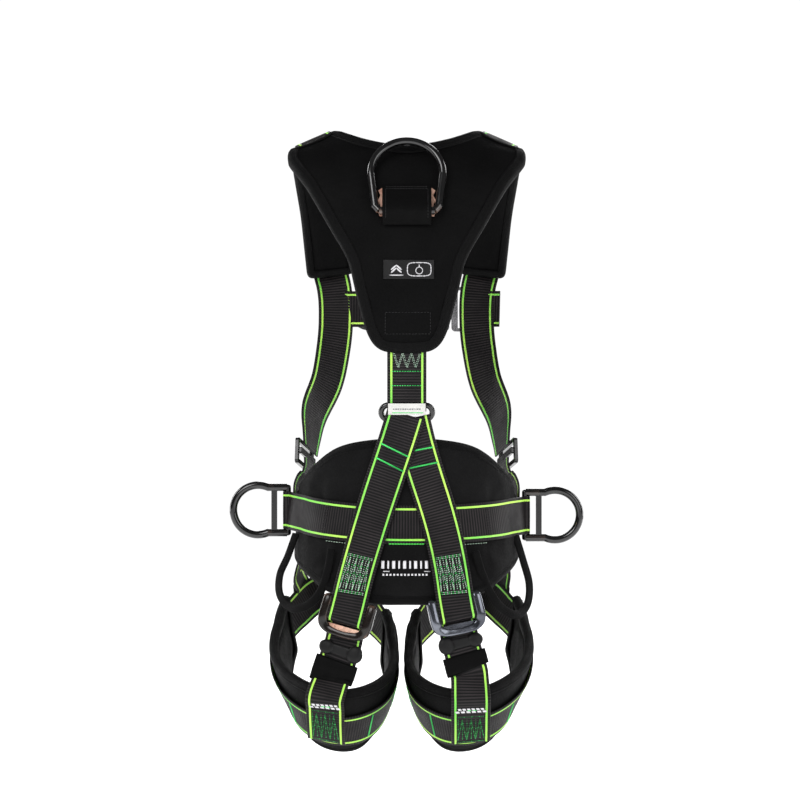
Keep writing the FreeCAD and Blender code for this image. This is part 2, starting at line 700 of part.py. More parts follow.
# ---------------------------------------------------------------- leg loops
THIGH = (60.0, 93.0)       # half width and half depth of the thigh inside a leg loop
THIGH_Y = -14.0
LEG_PAD = 11.0             # thickness of a leg pad
LEG_WEB_H = 12.3


def leg_height(turn):
    a = math.radians(turn)
    return -163 - 68.5 * math.cos(a) + 9 * math.sin(a) + 6 * math.cos(2 * a)


def leg_pad_width(turn):
    return 60 + 14 * (1 + math.cos(math.radians(turn)))


def leg_point(side, turn, across, height):
    """A point on a leg loop.  turn: 0 at the back, 90 outside, 180 in front.

    across runs from -1 on the lower edge to 1 on the upper edge.
    """
    s = SIGN[side]
    a = math.radians(turn)
    middle = V(LEG_X[side] + s * THIGH[0] * math.sin(a), THIGH_Y - THIGH[1] * math.cos(a), leg_height(turn))
    level = V(s * math.sin(a) / THIGH[0], -math.cos(a) / THIGH[1], 0).normalize()
    back = max(math.cos(a), 0)
    lean = 6 + 4 * math.sin(a) + 30 * back**0.7
    lean_way = V(level.x * (1 - 0.75 * back), level.y, 0).normalize()
    half = leg_pad_width(turn) / 2
    # the section is an arc: it leans further under the thigh towards its lower edge
    curl = 22 * lean / 38
    steps = 8
    p = middle
    for k in range(steps):
        tilt = math.radians(lean - curl * across * (k + 0.5) / steps)
        p = p + (V(0, 0, math.cos(tilt)) + lean_way * math.sin(tilt)) * (half * across / steps)
    tilt = math.radians(lean - curl * across)
    rise = 68.5 * math.sin(a) + 9 * math.cos(a) - 12 * math.sin(2 * a)
    tangent = V(s * THIGH[0] * math.cos(a), THIGH[1] * math.sin(a), rise)
    n = tangent.cross(V(0, 0, math.cos(tilt)) + lean_way * math.sin(tilt)).normalize() * s
    return p + n * height, n


def build_leg_loops():
    for side in SIGN:
        sections = []
        for turn in range(-118, 119, 8):
            rows = [-1 + k / 3 for k in range(7)]
            both = [[leg_point(side, turn, row, h)[0] for row in rows] for h in (0, LEG_PAD)]
            before, after = leg_point(side, turn - 2, 0, 0)[0], leg_point(side, turn + 2, 0, 0)[0]
            along = (after - before).normalize()
            up = both[0][-1] - both[0][0]
            n = leg_point(side, turn, 0, 0)[1]
            flat = n.cross(up).normalize()
            sections.append([flatten(part, both[0][3], flat) for part in both])
        parts["leg_pad_" + side] = slab(sections)
        path = []
        for turn in [-163 + 326 * k / 44 for k in range(45)]:
            rise = min(max((abs(turn) - 120) / 16, 0), 1)
            path.append(leg_point(side, turn, -0.08, LEG_WEB_H + (FRONT_H - LEG_WEB_H) * rise))
        parts["leg_webbing_" + side] = ribbon(path)


# rear risers: skin points below the adjuster, then a turn on the leg loop
RISER = {"left": ([(-66, -104, 7.4), (-70, -132, 7.4), (-76, -152, 10), (-81, -170, 15.5)], 5),
         "right": ([(54, -100, 7.4), (59, -130, 7.4), (64, -150, 10), (68, -168, 15.5)], 0)}


def build_risers():
    keepers = []
    for side, s in SIGN.items():
        skin, turn = RISER[side]
        path = lay([at_back(x, z, h) for x, z, h in skin], 9)
        path += [leg_point(side, turn, across, height)
                 for across, height in ((0.9, 16.4), (0.6, 16.0), (0.2, 15.6), (-0.1, 15.4), (-0.4, 15.4))]
        parts["leg_riser_" + side] = ribbon(path)
        keepers += keeper_pair(path)
        low = [leg_point(side, 140, across, 5.3) for across in (-0.4, 0.0, 0.4, 0.7)]
        foot = low[-1][0]
        skin = [at_front(foot.x - s * 3, -66, 6.0), at_front(foot.x - s * 12, -30, 5.3),
                at_front(s * 94, 3, 5.4), at_front(s * 93, 24, 5.4)]
        parts["front_riser_" + side] = ribbon(low + lay(skin, 9), FRONT_RISER_W)
    parts["web_keepers"] = Part.Compound(keepers)


def keeper_pair(path):
    """Two moulded keepers on the rear riser: one with round lobes, one a plain sleeve."""
    solids = []
    for k, kind in ((5, "lobes"), (7, "sleeve")):
        p, n = path[k]
        along = (path[k - 1][0] - path[k + 1][0]).normalize()
        if kind == "lobes":
            body = block(40, 6.4, 11)
            for x in (-17, 17):
                body = body.fuse(Part.makeCylinder(9, 6.4, V(x, -3.2, 0), V(0, 1, 0)))
        else:
            body = window_plate(54, 17, 6.4, [], 3)
        body = body.cut(block(WEB + 0.8, 3.0, 40))
        solids.append(place(body, p, along, n))
    return solids


def build_leg_buckles():
    """Pass-through buckles in front of the thighs: an outer frame and a plate that tips through it."""
    for side, s in SIGN.items():
        p, out = leg_point(side, 180, -0.08, 8.2)
        before, after = leg_point(side, 176, -0.08, 0)[0], leg_point(side, 184, -0.08, 0)[0]
        along = (after - before).normalize()
        frame = window_plate(*LEG_FRAME, [LEG_WINDOW], 6)
        frame = frame.cut(Part.makeCylinder(LEG_PIN + 0.05, 60, V(-30, 0, LEG_PIN_Z), V(1, 0, 0)))
        plate = window_plate(*LEG_PLATE, [(30, 8, -4)], 3)
        plate = plate.transformed(FreeCAD.Placement(V(0, 0, 2), FreeCAD.Rotation()).toMatrix(), True)
        pin = Part.makeCylinder(LEG_PIN, 57, V(-28.5, 0, LEG_PIN_Z), V(1, 0, 0))
        plate = plate.fuse(pin).removeSplitter()
        parts["leg_buckle_frame_" + side] = place(frame, p, along, out)
        parts["leg_buckle_plate_" + side] = place(plate, p, along, out)


# ---------------------------------------------------------------- sternal ring
def sternal_frame():
    p = V(STERNAL_X, front_y(STERNAL_X, 258), 258)
    out = outward(p)
    up = V(0, 0, 1)
    up = (up - out * up.dot(out)).normalize()
    return p + out * 9.0, up, out


def build_sternal():
    """A small D-ring on the chest strap, held by its upright bar under a webbing tunnel."""
    bar, up, out = sternal_frame()
    side = out.cross(up)
    side = side if side.x < 0 else side * -1
    centre, end = bar + side * 4, up * STERNAL_HALF
    ring = bent_rod([centre - end, bar - end, bar + end, centre + end], STERNAL_ROD)
    ring.append(rod_arc(centre, STERNAL_HALF, -90, 90, STERNAL_ROD, side, up))
    parts["sternal_d_ring"] = fuse(ring)


build_yoke()
build_shoulders()
build_dorsal()
build_centre()
build_diagonals()
build_belt_pad()
build_belt_webbing()
build_side_rings()
build_belt_front()
build_buckle("chest")
build_buckle("waist")
build_chest_straps()
build_sternal()
build_flanks()
build_gear_loops()
build_leg_loops()
build_risers()
build_leg_buckles()

os.makedirs("parts", exist_ok=True)
for name, shape in parts.items():
    print(name, shape.isValid(), len(shape.Solids), round(shape.Volume / 1000, 1), "cm3")
    shape.exportStep("parts/" + name + ".step")
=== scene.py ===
"""Full-body climbing harness seen from the wearer's back: the looks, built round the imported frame.

Lengths are millimetres in the frame's own axes, and become metres when a mesh is made:
+X is the wearer's right, +Y the wearer's front, +Z up, origin in the middle of the waist.
"""

import math

import bmesh
import bpy
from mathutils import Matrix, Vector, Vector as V
from mathutils.bvhtree import BVHTree


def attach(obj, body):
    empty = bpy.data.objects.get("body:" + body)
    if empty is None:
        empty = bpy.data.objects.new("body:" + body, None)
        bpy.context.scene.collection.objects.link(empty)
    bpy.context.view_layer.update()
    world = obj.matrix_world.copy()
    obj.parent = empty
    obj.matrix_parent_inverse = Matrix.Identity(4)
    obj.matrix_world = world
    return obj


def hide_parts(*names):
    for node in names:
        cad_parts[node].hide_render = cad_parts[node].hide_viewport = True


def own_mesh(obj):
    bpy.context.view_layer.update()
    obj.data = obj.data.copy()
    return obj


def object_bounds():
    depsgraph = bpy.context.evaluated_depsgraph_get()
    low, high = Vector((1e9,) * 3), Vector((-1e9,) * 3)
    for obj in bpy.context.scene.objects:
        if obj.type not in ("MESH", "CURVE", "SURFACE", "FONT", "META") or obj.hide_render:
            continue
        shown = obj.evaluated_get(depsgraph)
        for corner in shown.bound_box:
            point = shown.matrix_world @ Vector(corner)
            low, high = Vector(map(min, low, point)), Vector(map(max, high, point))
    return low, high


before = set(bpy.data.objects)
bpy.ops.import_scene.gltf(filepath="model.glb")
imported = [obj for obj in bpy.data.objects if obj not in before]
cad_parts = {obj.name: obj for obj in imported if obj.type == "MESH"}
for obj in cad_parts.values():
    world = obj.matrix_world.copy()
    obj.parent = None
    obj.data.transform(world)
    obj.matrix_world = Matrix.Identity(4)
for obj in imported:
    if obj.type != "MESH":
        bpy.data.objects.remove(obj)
cad_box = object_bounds()

MM = 0.001
WEB = 45.0                     # width of the main webbing
WEB_T = 2.0
POWER = 2.4                    # roundness of the body's level sections
LINING = (1.0, 7.5)            # heights above the skin
INSIDE = 9.0
COVER = (10.5, 13.5)
BELT_PAD = (1.0, 12.0)
BELT_H = 13.3
DIAGONAL_H = 15.7
CROSS_H = 18.4
FRONT_H = 3.0
DORSAL_ROD = 4.5
FOLD_R = 5.2
SIDE_BAR_X = 142.0
SIDE_Z = {"left": 12.0, "right": 6.0}
SIGN = {"left": -1.0, "right": 1.0}
LEG_X = {"left": -84.0, "right": 72.0}
CLOTH_FRAMES = 20              # length of each cloth simulation
RIB = 1.1                      # a third of the pitch of the webbing's ribs

# level sections of the body: height, half width, back, front
BODY = [(-320, 138, -110, 80), (-200, 149, -116, 84), (-150, 150, -125, 90), (-100, 138, -119, 96),
        (-50, 124, -104, 100), (0, 119, -93, 102), (50, 118, -87, 104), (100, 122, -89, 108),
        (150, 137, -98, 112), (200, 153, -109, 117), (250, 168, -118, 120), (300, 182, -123, 116),
        (340, 206, -122, 104), (375, 220, -114, 86), (400, 203, -103, 68), (420, 166, -91, 52),
        (433, 122, -82, 40), (450, 86, -72, 28), (472, 63, -62, 14), (505, 56, -56, 6)]


def squircle(angle, power_x, power_y):
    """Cosine and sine of an angle, each raised to a power with its sign kept."""
    c, s = math.cos(angle), math.sin(angle)
    return math.copysign(abs(c)**power_x, c), math.copysign(abs(s)**power_y, s)


# -------- the body form
def section(z):
    """Half width, middle y and half depth of the body at one height."""
    z = min(max(z, BODY[0][0] + 0.01), BODY[-1][0] - 0.01)
    i = max(k for k in range(len(BODY) - 1) if BODY[k][0] <= z)
    low, high = BODY[i], BODY[i + 1]
    before = BODY[max(i - 1, 0)]
    after = BODY[min(i + 2, len(BODY) - 1)]
    span = high[0] - low[0]
    t = (z - low[0]) / span
    values = []
    for k in (1, 2, 3):
        rise_low = (high[k] - before[k]) / (high[0] - before[0]) * span
        rise_high = (after[k] - low[k]) / (after[0] - low[0]) * span
        values.append((2 * t**3 - 3 * t**2 + 1) * low[k] + (t**3 - 2 * t**2 + t) * rise_low
                      + (3 * t**2 - 2 * t**3) * high[k] + (t**3 - t**2) * rise_high)
    half, back, front = values
    return half, (back + front) / 2, (front - back) / 2


def depth_ratio(p):
    half, middle, depth = section(p[2])
    return (abs(p[0] / half)**POWER + abs((p[1] - middle) / depth)**POWER)**(1 / POWER) - 1


def slope(p):
    step = 0.25
    axes = (V((step, 0, 0)), V((0, step, 0)), V((0, 0, step)))
    return V([(depth_ratio(p + d) - depth_ratio(p - d)) / (2 * step) for d in axes])


def snap(p):
    """Nearest point of the skin."""
    for _ in range(12):
        g = slope(p)
        p = p - g * (depth_ratio(p) / g.length_squared)
    return p


def outward(p):
    return slope(p).normalized()


def skin_y(x, z, way):
    half, middle, depth = section(z)
    return middle + way * depth * max(1 - abs(x / half)**POWER, 0)**(1 / POWER)


def back_y(x, z):
    return skin_y(x, z, -1)


def front_y(x, z):
    return skin_y(x, z, 1)


def bisect(low, high, is_low):
    while high - low > 0.05:
        z = (low + high) / 2
        low, high = (z, high) if is_low(z) else (low, z)
    return low


def crest(x):
    """Height of the shoulder line at one x."""
    return bisect(380.0, 500.0, lambda z: section(z)[0] > abs(x))


def at_back(x, z, height=0.0):
    return (x, back_y(x, z), z, height)


def at_front(x, z, height=0.0):
    return (x, front_y(x, z), z, height)


def at_side(turn, z, height=0.0):
    """turn in degrees: 0 at the spine, 90 at the right side, 180 at the front."""
    half, middle, depth = section(z)
    c, s = squircle(math.radians(turn), 2 / POWER, 2 / POWER)
    return (half * s, middle - depth * c, z, height)


def at_top(x, y, height=0.0):
    return (x, y, bisect(370.0, 500.0, lambda z: depth_ratio((x, y, z)) < 0), height)


# -------- paths over the body
def smooth(points, count):
    """Even steps along a smooth line through the given points."""
    dense = []
    for i in range(len(points) - 1):
        a, b = points[i], points[i + 1]
        before = points[i - 1] if i else tuple(2 * m - n for m, n in zip(a, b))
        after = points[i + 2] if i + 2 < len(points) else tuple(2 * n - m for m, n in zip(a, b))
        for k in range(24):
            t = k / 24
            dense.append(tuple(0.5 * (2 * q + (r - p) * t + (2 * p - 5 * q + 4 * r - s) * t**2
                                      + (3 * q - p - 3 * r + s) * t**3)
                               for p, q, r, s in zip(before, a, b, after)))
    dense.append(tuple(points[-1]))
    run = [0.0]
    for a, b in zip(dense, dense[1:]):
        run.append(run[-1] + math.dist(a[:3], b[:3]))
    even = []
    k = 0
    for step in range(count):
        want = run[-1] * step / (count - 1)
        while k < len(run) - 2 and run[k + 1] < want:
            k += 1
        t = (want - run[k]) / max(run[k + 1] - run[k], 1e-9)
        even.append(tuple(a + (b - a) * t for a, b in zip(dense[k], dense[k + 1])))
    return even


def lay(route, count):
    """Points above the skin under a route of (x, y, z, height), each with its normal."""
    path = []
    for x, y, z, height in smooth(route, count):
        p = snap(V((x, y, z)))
        n = outward(p)
        path.append((p + n * height, n))
    return path


def fold(centre, out, along, radius, first, last, facing=1, steps=9):
    """Points round a bar, from angle first to last, measured from out towards along."""
    path = []
    for k in range(steps):
        a = math.radians(first + (last - first) * k / (steps - 1))
        n = out * math.cos(a) + along * math.sin(a)
        path.append((centre + n * radius, n * facing))
    return path


def bridge(a, b, steps):
    """Even points strictly between two (point, normal) pairs."""
    path = []
    for k in range(1, steps + 1):
        t = k / (steps + 1)
        path.append((a[0] * (1 - t) + b[0] * t, (a[1] * (1 - t) + b[1] * t).normalized()))
    return path


def ease(path, times):
    """The same path with its bends spread out; both ends stay."""
    for _ in range(times):
        inner = [((a[0] + b[0] * 2 + c[0]) / 4, (a[1] + b[1] * 2 + c[1]).normalized())
                 for a, b, c in zip(path, path[1:], path[2:])]
        path = path[:1] + inner + path[-1:]
    return path


class Strip:
    """A band along a path of (point, normal), with places on it in mm along and across."""

    def __init__(self, path, step=RIB):
        flat = [(*p, *n) for p, n in path]
        length = sum(math.dist(a[:3], b[:3]) for a, b in zip(flat, flat[1:]))
        rows = smooth(flat, max(int(length / step), 4))
        self.points = [V(r[:3]) for r in rows]
        last = len(rows) - 1
        self.run = [0.0]
        self.frames = []
        for i, r in enumerate(rows):
            if i:
                self.run.append(self.run[-1] + (self.points[i] - self.points[i - 1]).length)
            along = (self.points[min(i + 1, last)] - self.points[max(i - 1, 0)]).normalized()
            across = V(r[3:]).cross(along).normalized()
            self.frames.append((along, across, along.cross(across)))
        self.length = self.run[-1]

    def at(self, s, x=0.0, lift=0.0):
        """Point and normal at s along, x across and lift above the middle."""
        s = min(max(s, 0.0), self.length)
        t = s / self.length * (len(self.points) - 1)
        i = min(int(t), len(self.points) - 2)
        f = t - i
        across = self.frames[i][1].lerp(self.frames[i + 1][1], f)
        up = self.frames[i][2].lerp(self.frames[i + 1][2], f).normalized()
        return self.points[i].lerp(self.points[i + 1], f) + across * x + up * lift, up

    def way(self, axis, row=0):
        """1 or -1: the sense along an axis in which the strip's across direction points."""
        return 1 if self.frames[row][1][axis] > 0 else -1

    def level(self, z, last=False):
        """Distance along at which the strip passes one height."""
        hits = [i for i in range(len(self.points) - 1)
                if (self.points[i].z - z) * (self.points[i + 1].z - z) <= 0]
        return self.run[hits[-1 if last else 0]] if hits else 0.0


# -------- materials
class Shader:
    """A Principled material with its pattern built up node by node."""

    def __init__(self, name, roughness, metallic=0.0, coat=0.0, sheen=0.0, specular=0.5):
        self.material = bpy.data.materials.new(name)
        self.material.use_nodes = True
        self.tree = self.material.node_tree
        self.shader = self.tree.nodes["Principled BSDF"]
        for socket, value in (("Metallic", metallic), ("Coat Weight", coat), ("Sheen Weight", sheen),
                              ("Specular IOR Level", specular), ("Roughness", roughness),
                              ("Coat Roughness", 0.08), ("Sheen Roughness", 0.4)):
            self.shader.inputs[socket].default_value = value
        self.bumps = None

    def feed(self, socket, value):
        if isinstance(value, bpy.types.NodeSocket):
            self.tree.links.new(value, socket)
        else:
            socket.default_value = value

    def node(self, kind, **inputs):
        n = self.tree.nodes.new("ShaderNode" + kind)
        for key, value in inputs.items():
            self.feed(n.inputs[key.replace("_", " ")], value)
        return n

    def coordinates(self, kind):
        if kind == "cloth":
            n = self.node("UVMap")
            n.uv_map = "Cloth"
            return n.outputs["UV"]
        return self.node("TexCoord").outputs["Object"]

    def noise(self, scale, detail=3.0):
        return self.node("TexNoise", Vector=self.coordinates("object"), Scale=scale,
                         Detail=detail).outputs["Fac"]

    def wave(self, scale, direction, distortion=0.0, where="cloth", phase=0.0):
        n = self.node("TexWave", Vector=self.coordinates(where), Scale=scale, Distortion=distortion,
                      Phase_Offset=phase)
        n.bands_direction = direction
        return n.outputs["Fac"]

    def cells(self, scale):
        return self.node("TexVoronoi", Vector=self.coordinates("object"), Scale=scale).outputs["Distance"]

    def maths(self, operation, a, b):
        n = self.node("Math")
        n.operation = operation
        self.feed(n.inputs[0], a)
        self.feed(n.inputs[1], b)
        return n.outputs[0]

    def mix(self, value, other, part):
        """A value with this part of another in it."""
        return self.maths("ADD", self.maths("MULTIPLY", value, 1 - part), self.maths("MULTIPLY", other, part))

    def ramp(self, value, *stops):
        n = self.tree.nodes.new("ShaderNodeValToRGB")
        self.tree.links.new(value, n.inputs["Fac"])
        while len(n.color_ramp.elements) < len(stops):
            n.color_ramp.elements.new(0.5)
        for element, (place, colour) in zip(n.color_ramp.elements, stops):
            element.position = place
            element.color = (*colour, 1) if isinstance(colour, tuple) else (colour, colour, colour, 1)
        return n.outputs["Color"]

    def colour(self, value):
        self.tree.links.new(value, self.shader.inputs["Base Color"])

    def rough(self, value, low, high):
        self.tree.links.new(self.ramp(value, (0.25, low), (0.75, high)), self.shader.inputs["Roughness"])

    def bump(self, value, height, strength=1.0):
        """height in metres"""
        n = self.node("Bump", Height=value, Strength=strength, Distance=height)
        if self.bumps:
            self.tree.links.new(self.bumps, n.inputs["Normal"])
        self.bumps = n.outputs["Normal"]
        self.tree.links.new(self.bumps, self.shader.inputs["Normal"])


def webbing_material():
    """Ribbed polyester: fine yarns along it over the cross ribs that the mesh has, whose crests are coloured
    light as painted highlight and whose gaps are coloured dark as painted shade.
    """
    m = Shader("ribbed_webbing", 0.5, specular=0.16)
    yarn = m.wave(5.2, "X", 1.2)
    # painted highlight and shade: this wave colours the rib crests light and the gaps between the ribs dark
    rib = m.wave(math.pi / (3 * RIB), "Y", 0.0, phase=math.pi)
    soft = m.mix(rib, yarn, 0.2)
    shade = m.maths("MULTIPLY", soft, m.maths("ADD", m.noise(26.0), 0.45))
    m.colour(m.ramp(shade, (0.05, (0.0012, 0.0012, 0.0015)), (0.45, (0.0052, 0.0046, 0.005)),
                    (0.95, (0.026, 0.0215, 0.0225))))
    m.rough(m.noise(60.0), 0.42, 0.58)
    m.bump(yarn, 0.00010, 0.6)
    return m.material


def thread_material(name, bright, dark, roughness=0.42):
    m = Shader(name, roughness, specular=0.3)
    tint = m.noise(42.0, 2.0)
    m.colour(m.ramp(tint, (0.32, dark), (0.68, bright)))
    m.bump(m.wave(3.5, "DIAGONAL", 1.0, "object"), 0.0001, 0.5)
    return m.material


def lime_material():
    """Lime warp yarns: leaf green and yellow by turns along the length."""
    m = Shader("lime_line", 0.4, specular=0.4)
    twist = m.wave(4.4, "DIAGONAL", 0.8)
    drift = m.noise(9.0, 2.0)
    m.colour(m.ramp(m.mix(twist, drift, 0.75), (0.36, (0.06, 0.50, 0.06)), (0.48, (0.24, 0.74, 0.07)),
                    (0.62, (0.60, 0.84, 0.12))))
    m.bump(twist, 0.0003, 0.8)
    return m.material


def pad_material(name, low, high, cell, grain=420.0):
    """Smooth laminated foam cover: a faint knit under large soft variation."""
    m = Shader(name, 0.62, specular=0.05)
    knit = m.cells(grain * 1.6)
    cloud = m.noise(14.0, 4.0)
    m.colour(m.ramp(m.mix(cloud, knit, 0.25), (0.3, low), (0.7, high)))
    m.rough(m.noise(grain), 0.5, 0.72)
    m.bump(knit, cell, 0.35)
    m.bump(m.noise(55.0, 3.0), 0.0009, 0.25)
    return m.material


def mesh_material():
    """Open spacer mesh for the sides that touch the wearer."""
    m = Shader("spacer_mesh", 0.75, specular=0.2)
    holes = m.cells(300.0)
    m.colour(m.ramp(holes, (0.12, (0.002, 0.002, 0.0025)), (0.3, (0.016, 0.016, 0.018))))
    m.bump(holes, 0.0012, 0.8)
    return m.material


def tape_material(name, low, high):
    m = Shader(name, 0.6, specular=0.08)
    weave = m.maths("MULTIPLY", m.wave(6.5, "X"), m.wave(8.5, "Y"))
    m.colour(m.ramp(weave, (0.1, low), (0.9, high)))
    m.rough(m.noise(80.0), 0.5, 0.7)
    m.bump(weave, 0.00025, 0.8)
    return m.material


def metal_material(name, low, high, roughness, metallic, coat=0.0, edge_wear_and_glint=None):
    """Painted, plated or bare metal with a soft grain and fine scratches."""
    m = Shader(name, roughness, metallic=metallic, coat=coat, specular=0.35)
    cloud = m.noise(30.0, 5.0)
    colour = m.ramp(cloud, (0.3, low), (0.7, high))
    # edge colour on convex edges: rubbed wear on some parts, and a painted copper highlight on the left rear
    # adjuster's frame
    if edge_wear_and_glint:
        edge = m.node("NewGeometry").outputs["Pointiness"]
        edge_rub_and_glint = m.maths("MULTIPLY", m.ramp(edge, (0.53, 0.0), (0.62, 1.0)),
                      m.ramp(m.noise(90.0), (0.45, 0.0), (0.6, 0.7)))
        n = m.node("Mix")
        n.data_type = "RGBA"
        m.tree.links.new(edge_rub_and_glint, n.inputs["Factor"])
        m.tree.links.new(colour, n.inputs[6])
        n.inputs[7].default_value = (*edge_wear_and_glint, 1)
        colour = n.outputs[2]
    m.colour(colour)
    m.rough(m.noise(140.0, 6.0), roughness * 0.7, roughness * 1.4)
    m.bump(m.noise(260.0, 4.0), 0.00012, 0.35)
    return m.material


def plastic_material(name, low, high, roughness):
    m = Shader(name, roughness, specular=0.2)
    m.colour(m.ramp(m.noise(40.0, 4.0), (0.3, low), (0.7, high)))
    m.rough(m.noise(220.0), roughness * 0.85, roughness * 1.2)
    m.bump(m.noise(900.0, 2.0), 0.00018, 0.5)
    return m.material


def print_material(name, low, high, roughness=0.45):
    m = Shader(name, roughness, specular=0.2)
    satin = m.wave(9.0, "Y", 0.3)
    m.colour(m.ramp(m.maths("MULTIPLY", satin, m.noise(70.0)), (0.0, low), (0.6, high)))
    m.bump(satin, 0.00008, 0.4)
    return m.material


def grey(v):
    return (v, v * 0.985, v * 1.02)


WEBBING = webbing_material()
LIME = lime_material()
THREAD_GREEN = thread_material("green_thread", (0.08, 0.72, 0.16), (0.02, 0.36, 0.07))
THREAD_DEEP = thread_material("deep_green_thread", (0.03, 0.30, 0.07), (0.008, 0.10, 0.025))
THREAD_PALE = thread_material("pale_thread", (0.62, 0.80, 0.64), (0.40, 0.58, 0.44))
THREAD_BLACK = thread_material("black_thread", (0.022, 0.022, 0.023), (0.008, 0.008, 0.009))
PAD = pad_material("laminated_foam_cover", grey(0.0016), grey(0.0034), 0.00022)
BELT_FABRIC = pad_material("belt_pad_fabric", grey(0.0028), grey(0.0068), 0.00030, 380.0)
SPACER = mesh_material()
BINDING = tape_material("binding_tape", grey(0.002), grey(0.009))
GEAR = tape_material("gear_tape", grey(0.002), grey(0.008))
FLAP = tape_material("flap_fabric", grey(0.0014), grey(0.0040))
FORGED = metal_material("black_forged_metal", grey(0.0025), grey(0.006), 0.14, 0.0, 0.7, (0.20, 0.13, 0.10))
BLACK_FRAME = metal_material("black_steel_frame", grey(0.005), grey(0.014), 0.2, 0.3, 0.5)
# left rear adjuster: a black frame whose edges get a painted copper highlight
COPPER_GLINT_FRAME = metal_material("black_frame_painted_copper_glints", grey(0.003), (0.014, 0.009, 0.007), 0.2, 0.3, 0.35,
                            (0.66, 0.38, 0.28))
COPPER = metal_material("bronze_keeper_plate", (0.50, 0.24, 0.17), (0.92, 0.60, 0.46), 0.26, 0.45)
STEEL = metal_material("steel_buckle", grey(0.34), grey(0.52), 0.26, 0.95)
DARK_STEEL = metal_material("dark_polished_steel", (0.05, 0.055, 0.07), (0.17, 0.18, 0.21), 0.14, 0.9, 0.3)
COVER_METAL = metal_material("anodised_cover", grey(0.018), grey(0.038), 0.30, 0.7, 0.0, (0.4, 0.4, 0.41))
LEVER_METAL = metal_material("release_lever", (0.12, 0.42, 0.04), (0.22, 0.62, 0.07), 0.28, 0.75)
KEEPER = plastic_material("moulded_keeper", grey(0.0045), grey(0.0085), 0.45)
ELASTIC = tape_material("elastic_sleeve", grey(0.0014), grey(0.0034))
PATCH = print_material("label_patch", grey(0.004), grey(0.011), 0.35)
PRINT = print_material("white_print", grey(0.55), grey(0.74))
SATIN = print_material("white_satin_label", (0.48, 0.48, 0.46), (0.68, 0.67, 0.64))
PRINT_GREY = print_material("grey_print", grey(0.16), grey(0.30))

FINISH = {"black_forged_metal": FORGED, "keeper_plate": COPPER, "black_steel_frame": BLACK_FRAME,
          "steel_buckle": STEEL, "anodised_cover": COVER_METAL, "release_lever": LEVER_METAL}
OWN_FINISH = {"rear_slide_bar_left": COPPER, "rear_slide_bar_right": DARK_STEEL,
              "flank_slide_bar_left": BLACK_FRAME, "flank_slide_bar_right": BLACK_FRAME}


# -------- making pieces
def piece(name, points, faces, materials, slots=None, places=None, body="harness", finish=None,
          stands_for=()):
    """A mesh from points in mm. slots: material index of each face. places: cloth place of each point."""
    mesh = bpy.data.meshes.new(name)
    mesh.from_pydata([p * MM for p in points], [], faces)
    for m in materials:
        mesh.materials.append(m)
    if slots:
        mesh.polygons.foreach_set("material_index", slots)
    if places:
        layer = mesh.uv_layers.new(name="Cloth")
        corners = [0] * len(mesh.loops)
        mesh.loops.foreach_get("vertex_index", corners)
        layer.data.foreach_set("uv", [c / 10 for i in corners for c in places[i]])
    bm = bmesh.new()
    bm.from_mesh(mesh)
    bmesh.ops.recalc_face_normals(bm, faces=bm.faces)
    bm.to_mesh(mesh)
    bm.free()
    mesh.polygons.foreach_set("use_smooth", [True] * len(mesh.polygons))
    obj = bpy.data.objects.new(name, mesh)
    bpy.context.scene.collection.objects.link(obj)
    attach(obj, body)
    if stands_for:
        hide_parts(*stands_for)
    return obj


def tube_faces(first, rings, size, loop=False):
    """Faces between rings of points. A loop joins its last ring to its first, anything else gets two caps."""
    faces = []
    for i in range(rings if loop else rings - 1):
        a, b = first + i * size, first + (i + 1) % rings * size
        for k in range(size):
            m = (k + 1) % size
            faces.append((a + k, a + m, b + m, b + k))
    if not loop:
        last = first + (rings - 1) * size
        faces += [tuple(range(first, first + size)), tuple(range(last, last + size))]
    return faces


def sheet_faces(first, wide, tall):
    """Faces of two layers of wide x tall points, joined round their rim: both layers, then the rim."""
    layer = wide * tall
    faces = []
    for side in (0, layer):
        for i in range(wide - 1):
            for j in range(tall - 1):
                a = first + side + i * tall + j
                faces.append((a, a + tall, a + tall + 1, a + 1))
    rim = ([i * tall for i in range(wide)] + [layer - tall + j for j in range(1, tall)]
           + [i * tall + tall - 1 for i in range(wide - 2, -1, -1)] + list(range(tall - 2, 0, -1)))
    for a, b in zip(rim, rim[1:] + rim[:1]):
        faces.append((first + a, first + b, first + b + layer, first + a + layer))
    return faces


def sweep(strip, columns, stretch=None):
    """Points, faces and cloth places of a closed band. columns: (x, y, rib height) round the section."""
    points, places = [], []
    for i, (middle, (_, across, up)) in enumerate(zip(strip.points, strip.frames)):
        wide = stretch(strip.run[i]) if stretch else 1.0
        wave = math.cos(2 * math.pi * i / 3)
        for x, y, rib in columns:
            points.append(middle + across * (x * wide) + up * (y + math.copysign(rib, y) * wave))
            places.append((x, i * RIB))
    return points, tube_faces(0, len(strip.points), len(columns)), places


def band(name, strip, columns, material, slot, stands_for=(), stretch=None):
    """A closed band of one material along a strip."""
    points, faces, places = sweep(strip, columns, stretch)
    return piece(name, points, faces, [material], None, places, "harness", slot, stands_for)


def mirrored(left):
    """A closed section from its upper left quarter, which ends on the middle line."""
    top = left + [(-x, y, rib) for x, y, rib in reversed(left[:-1])]
    return top + [(x, -y, rib) for x, y, rib in reversed(top[1:-1])]


def label_section(half, edge, rim, inner, height):
    """Section of a thin label: its half width, the width and height of its edge, and a point further in."""
    left = [(-half, 0, 0), (-half + edge, rim, 0), (-inner, height, 0)]
    return (left + [(0, 0.45, 0)] + [(-x, y, 0) for x, y, _ in reversed(left)]
            + [(half - edge, -rim, 0), (-half + edge, -rim, 0)])


